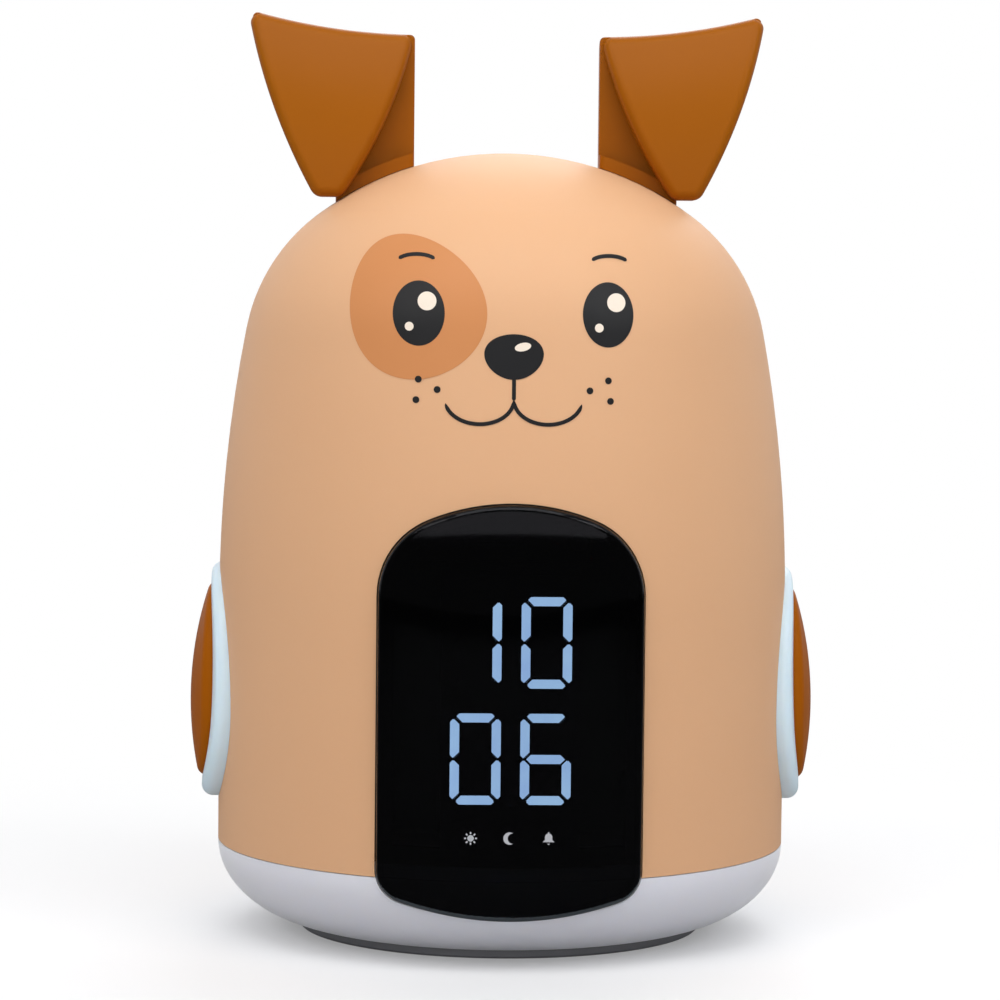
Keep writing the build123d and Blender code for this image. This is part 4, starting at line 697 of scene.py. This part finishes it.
def makeDigits(look):
    backY = look["frontY"] + look["depth"]
    lit = ([], [])
    dark = ([], [])
    for row, text in enumerate(reversed(look["rows"])):
        for column, figure in enumerate(text):
            x = (column - 0.5) * look["pitchX"]
            z = look["midZ"] + (row - 0.5) * look["pitchZ"]
            for letter in "abcdefg":
                points, faces = lit if letter in barsOf[figure] else dark
                addPlate(points, faces, barOutline(look, letter, x, z), look["frontY"], backY, look["edge"])
    signs = ([], [])
    width, height = look["legendSize"]
    for place, sign in ((-1, sunSign), (0, moonSign), (1, bellSign)):
        x = place * look["legendPitch"]
        z = look["legendZ"]
        low, high = z - height / 2, z + height / 2
        window = [(x - width / 2, low), (x + width / 2, low), (x + width / 2, high), (x - width / 2, high)]
        addPlate(*dark, window, look["frontY"], backY, look["edge"])
        for outline in sign(x, z):
            addPlate(*signs, outline, look["frontY"] - look["signDepth"], look["frontY"], look["signEdge"])
    for name, (points, faces), material in (
        ("litSegments", lit, "lit_segment"),
        ("darkSegments", dark, "darkSegment"),
        ("legendSigns", signs, "legendGlow"),
    ):
        thing = linkMesh(name, points, faces, materials[material], smooth=False)
        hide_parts("digit_segments")


makeDigits(digitLook)
print("digits made")


# printed puppy face, thin ink layers on the dome; places are (x, z) in mm, glints (x, z, radius)
faceLook = {
    "lift": 0.03, "inkThickness": 0.02,
    "eyeX": 17.2, "eyeZ": 119.5, "eyeHalf": (4.7, 5.9), "glint": ((1.5, 2.2, 1.7), (-1.7, -2.4, 0.8)),
    "patch": {"centre": (-18.0, 121.0), "half": (12.2, 13.4), "tilt": 24, "egg": 0.16},
    "nose": {"centre": (0.0, 111.8), "half": (6.0, 4.1), "squeeze": 0.22},
    "noseShine": {"offset": (1.6, 1.8), "half": (1.5, 0.75), "tilt": 12},
    "mouthDrop": 3.6, "cheekHalf": 6.2, "cheekDrop": 4.4, "cheekTurns": {-1: (0, -170), 1: (180, 350)},
    "lineWidth": 0.72, "lipSteps": 12, "lipIntoNose": 0.3, "lipLonger": 0.5,
    "freckles": ((13.8, 105.8), (17.2, 107.6), (17.6, 103.9)), "freckleRadius": 0.62,
    "browX": 17.6, "browZ": 130.2, "browHalf": 3.6, "browLift": 1.5, "browTurns": (155, 25),
}

inkFinishes = {
    "inkBlack": {
        "colour": (0.008, 0.008, 0.009), "shade": (0.012, 0.012, 0.013),
        "rough": 0.42, "spread": 0.06, "grain": 2400, "depth": 0.00001, "shine": 0.2,
    },
    "inkTan": {
        "colour": (0.60, 0.245, 0.088), "shade": (0.575, 0.232, 0.082),
        "rough": 0.44, "spread": 0.06, "grain": 2400, "depth": 0.00001, "shine": 0.2,
    },
    "inkCream": {
        "colour": (0.86, 0.76, 0.64), "shade": (0.83, 0.72, 0.60),
        "rough": 0.44, "spread": 0.06, "grain": 2400, "depth": 0.00001, "shine": 0.2,
    },
}
for name, look in inkFinishes.items():
    materials[name] = makePlastic(name, look)


def ovalOutline(centre, half, tilt=0.0, egg=0.0, count=96):
    points = []
    turn = radians(tilt)
    for step in range(count):
        angle = 2 * pi * step / count
        across = half[0] * cos(angle) * (1 - egg * sin(angle))
        along = half[1] * sin(angle)
        x = centre[0] + across * cos(turn) - along * sin(turn)
        z = centre[1] + across * sin(turn) + along * cos(turn)
        points.append((x, z))
    return points


# a filled shape as rings round its middle, so that it follows the dome
def printShape(name, centre, outline, ink, lift, rings=12):
    count = len(outline)
    midX, midZ = centre
    points = [domePoint(midX, midZ, lift)]
    for ring in range(1, rings + 1):
        share = ring / rings
        for x, z in outline:
            points.append(domePoint(midX + (x - midX) * share, midZ + (z - midZ) * share, lift))
    faces = [(0, 1 + (step + 1) % count, 1 + step) for step in range(count)]
    for ring in range(rings - 1):
        low = 1 + ring * count
        high = low + count
        for step in range(count):
            after = (step + 1) % count
            faces.append((low + step, low + after, high + after, high + step))
    thing = linkMesh(name, points, [tuple(reversed(face)) for face in faces], materials[ink])
    return thing


# a pen line that thins out at both ends
lineTip = {"rise": 14, "least": 0.02}


def printLine(name, path, width, ink, lift):
    points = []
    faces = []
    count = len(path)
    for step, (x, z) in enumerate(path):
        before = path[max(0, step - 1)]
        after = path[min(count - 1, step + 1)]
        along = Vector((after[0] - before[0], after[1] - before[1])).normalized()
        side = Vector((-along.y, along.x))
        fromEnd = min(step, count - 1 - step) / (count - 1)
        half = width / 2 * min(1.0, sqrt(max(lineTip["least"], fromEnd * lineTip["rise"])))
        for place in (-1, 0, 1):
            points.append(domePoint(x + side.x * half * place, z + side.y * half * place, lift))
    for step in range(count - 1):
        low = step * 3
        for place in (0, 1):
            faces.append((low + place, low + 3 + place, low + 4 + place, low + 1 + place))
    thing = linkMesh(name, points, faces, materials[ink])
    return thing


def arcPath(centre, half, startTurn, endTurn, count=40):
    path = []
    for step in range(count + 1):
        angle = radians(startTurn + (endTurn - startTurn) * step / count)
        path.append((centre[0] + half[0] * cos(angle), centre[1] + half[1] * sin(angle)))
    return path


def printEye(side, label, look, lift, ink):
    centre = (side * look["eyeX"], look["eyeZ"])
    printShape("printedEye" + label, centre, ovalOutline(centre, look["eyeHalf"]), "inkBlack", lift + ink)
    for number, (x, z, radius) in enumerate(look["glint"]):
        spot = (centre[0] + x, centre[1] + z)
        name = "printedGlint" + label + str(number)
        oval = ovalOutline(spot, (radius, radius), count=48)
        printShape(name, spot, oval, "inkCream", lift + 2 * ink, rings=4)


def printFreckles(side, label, look, lift):
    radius = look["freckleRadius"]
    for number, (x, z) in enumerate(look["freckles"]):
        spot = (side * x, z)
        name = "printedFreckle" + label + str(number)
        oval = ovalOutline(spot, (radius, radius), count=32)
        printShape(name, spot, oval, "inkBlack", lift, rings=3)


def printNose(look, lift, ink):
    nose = look["nose"]
    midX, midZ = nose["centre"]
    height = nose["half"][1]
    outline = []
    for x, z in ovalOutline((0, 0), nose["half"]):
        squeeze = 1 - nose["squeeze"] * (height - z) / (2 * height)
        outline.append((midX + x * squeeze, midZ + z))
    printShape("printedNose", nose["centre"], outline, "inkBlack", lift + ink)
    shine = look["noseShine"]
    spot = (midX + shine["offset"][0], midZ + shine["offset"][1])
    oval = ovalOutline(spot, shine["half"], shine["tilt"], count=40)
    printShape("printedNoseShine", spot, oval, "inkCream", lift + 2 * ink, rings=4)


def makeFace(look):
    lift = look["lift"]
    ink = look["inkThickness"]
    width = look["lineWidth"]
    patch = look["patch"]
    oval = ovalOutline(patch["centre"], patch["half"], patch["tilt"], patch["egg"])
    printShape("printedPatch", patch["centre"], oval, "inkTan", lift)
    noseLow = look["nose"]["centre"][1] - look["nose"]["half"][1]
    for side, label in ((-1, "Left"), (1, "Right")):
        printEye(side, label, look, lift, ink)
        brow = (side * look["browX"], look["browZ"] - look["browLift"])
        path = arcPath(brow, (look["browHalf"], look["browLift"]), *look["browTurns"])
        printLine("printedBrow" + label, path, width, "inkBlack", lift + ink)
        printFreckles(side, label, look, lift + ink)
        cheek = (side * look["cheekHalf"], noseLow - look["mouthDrop"])
        path = arcPath(cheek, (look["cheekHalf"], look["cheekDrop"]), *look["cheekTurns"][side])
        printLine("printedCheek" + label, path, width, "inkBlack", lift + ink)
    printNose(look, lift, ink)
    top = noseLow + look["lipIntoNose"]
    drop = look["mouthDrop"] + look["lipLonger"]
    lip = [(0, top - drop * step / look["lipSteps"]) for step in range(look["lipSteps"] + 1)]
    printLine("printedLip", lip, width, "inkBlack", lift + ink)


makeFace(faceLook)
print("face printed")


# floor: pale and shadowed near the clock, plain white further off, and dim where only the clock sees it
floorLook = {
    "half": 3.0, "rough": 0.6, "colour": (0.60, 0.60, 0.605),
    "unseen": (0.52, 0.52, 0.53), "mirrored": (0.06, 0.06, 0.065),
    "lift": 0.24, "fadeStart": 0.09, "fadeEnd": 0.25,
}


def makeFloor(look):
    mesh = bpy.data.meshes.new("studioFloor")
    half = look["half"]
    corners = [(-half, -half, 0), (half, -half, 0), (half, half, 0), (-half, half, 0)]
    mesh.from_pydata(corners, [], [(0, 1, 2, 3)])
    floor = bpy.data.objects.new("studioFloor", mesh)
    bpy.context.scene.collection.objects.link(floor)
    material, tree, shader = newMaterial("studioFloor")
    path = addNode(tree, "ShaderNodeLightPath", (-900, 500))
    seen = addNode(tree, "ShaderNodeMix", (-100, 100), data_type="RGBA")
    setValue(seen, "A", look["unseen"])
    setValue(seen, "B", look["colour"])
    tree.links.new(path.outputs["Is Camera Ray"], seen.inputs["Factor"])
    tone = addNode(tree, "ShaderNodeMix", (100, 100), data_type="RGBA")
    tree.links.new(seen.outputs["Result"], tone.inputs["A"])
    setValue(tone, "B", look["mirrored"])
    tree.links.new(path.outputs["Is Glossy Ray"], tone.inputs["Factor"])
    tree.links.new(tone.outputs["Result"], shader.inputs["Base Color"])
    shader.inputs["Roughness"].default_value = look["rough"]
    setValue(shader, "Emission Color", (1, 1, 1))
    lift = addNode(tree, "ShaderNodeMath", (100, -300), operation="MULTIPLY")
    lift.inputs[1].default_value = look["lift"]
    tree.links.new(path.outputs["Is Camera Ray"], lift.inputs[0])
    tree.links.new(lift.outputs["Value"], shader.inputs["Emission Strength"])
    place = addNode(tree, "ShaderNodeTexCoord", (-900, 0))
    reach = addNode(tree, "ShaderNodeVectorMath", (-700, 0), operation="LENGTH")
    fade = addNode(tree, "ShaderNodeMapRange", (-500, 0), interpolation_type="SMOOTHSTEP")
    fade.inputs["From Min"].default_value = look["fadeStart"]
    fade.inputs["From Max"].default_value = look["fadeEnd"]
    far = addNode(tree, "ShaderNodeMath", (-200, 200), operation="MULTIPLY")
    white = addNode(tree, "ShaderNodeEmission", (200, -500))
    mix = addNode(tree, "ShaderNodeMixShader", (500, 200))
    tree.links.new(place.outputs["Object"], reach.inputs[0])
    tree.links.new(reach.outputs["Value"], fade.inputs["Value"])
    tree.links.new(fade.outputs["Result"], far.inputs[0])
    tree.links.new(path.outputs["Is Camera Ray"], far.inputs[1])
    tree.links.new(far.outputs["Value"], mix.inputs[0])
    tree.links.new(shader.outputs["BSDF"], mix.inputs[1])
    tree.links.new(white.outputs[0], mix.inputs[2])
    tree.links.new(mix.outputs[0], tree.nodes["Material Output"].inputs["Surface"])
    mesh.materials.append(material)


makeFloor(floorLook)

# air: white behind the clock, dim in front of it, so that the window stays dark
worldLook = {"light": (0.88, 0.90, 0.93), "front": 0.16, "back": 0.92, "turnStart": -0.35, "turnEnd": 0.35}


def makeWorld(look):
    world = bpy.data.worlds.new("studioAir")
    world.use_nodes = True
    bpy.context.scene.world = world
    tree = world.node_tree
    tree.nodes.clear()
    out = addNode(tree, "ShaderNodeOutputWorld", (800, 0))
    place = addNode(tree, "ShaderNodeTexCoord", (-700, 0))
    parts = addNode(tree, "ShaderNodeSeparateXYZ", (-500, 0))
    turn = addNode(tree, "ShaderNodeMapRange", (-300, 0), interpolation_type="SMOOTHSTEP")
    turn.inputs["From Min"].default_value = look["turnStart"]
    turn.inputs["From Max"].default_value = look["turnEnd"]
    turn.inputs["To Min"].default_value = look["front"]
    turn.inputs["To Max"].default_value = look["back"]
    soft = addNode(tree, "ShaderNodeBackground", (0, 100))
    setValue(soft, "Color", look["light"])
    white = addNode(tree, "ShaderNodeBackground", (0, -100))
    setValue(white, "Color", (1, 1, 1))
    path = addNode(tree, "ShaderNodeLightPath", (0, 400))
    mix = addNode(tree, "ShaderNodeMixShader", (400, 0))
    tree.links.new(place.outputs["Generated"], parts.inputs[0])
    tree.links.new(parts.outputs["Y"], turn.inputs["Value"])
    tree.links.new(turn.outputs["Result"], soft.inputs["Strength"])
    tree.links.new(path.outputs["Is Camera Ray"], mix.inputs[0])
    tree.links.new(soft.outputs[0], mix.inputs[1])
    tree.links.new(white.outputs[0], mix.inputs[2])
    tree.links.new(mix.outputs[0], out.inputs["Surface"])


makeWorld(worldLook)
bpy.context.scene.view_settings.view_transform = "Standard"
print("studio made")
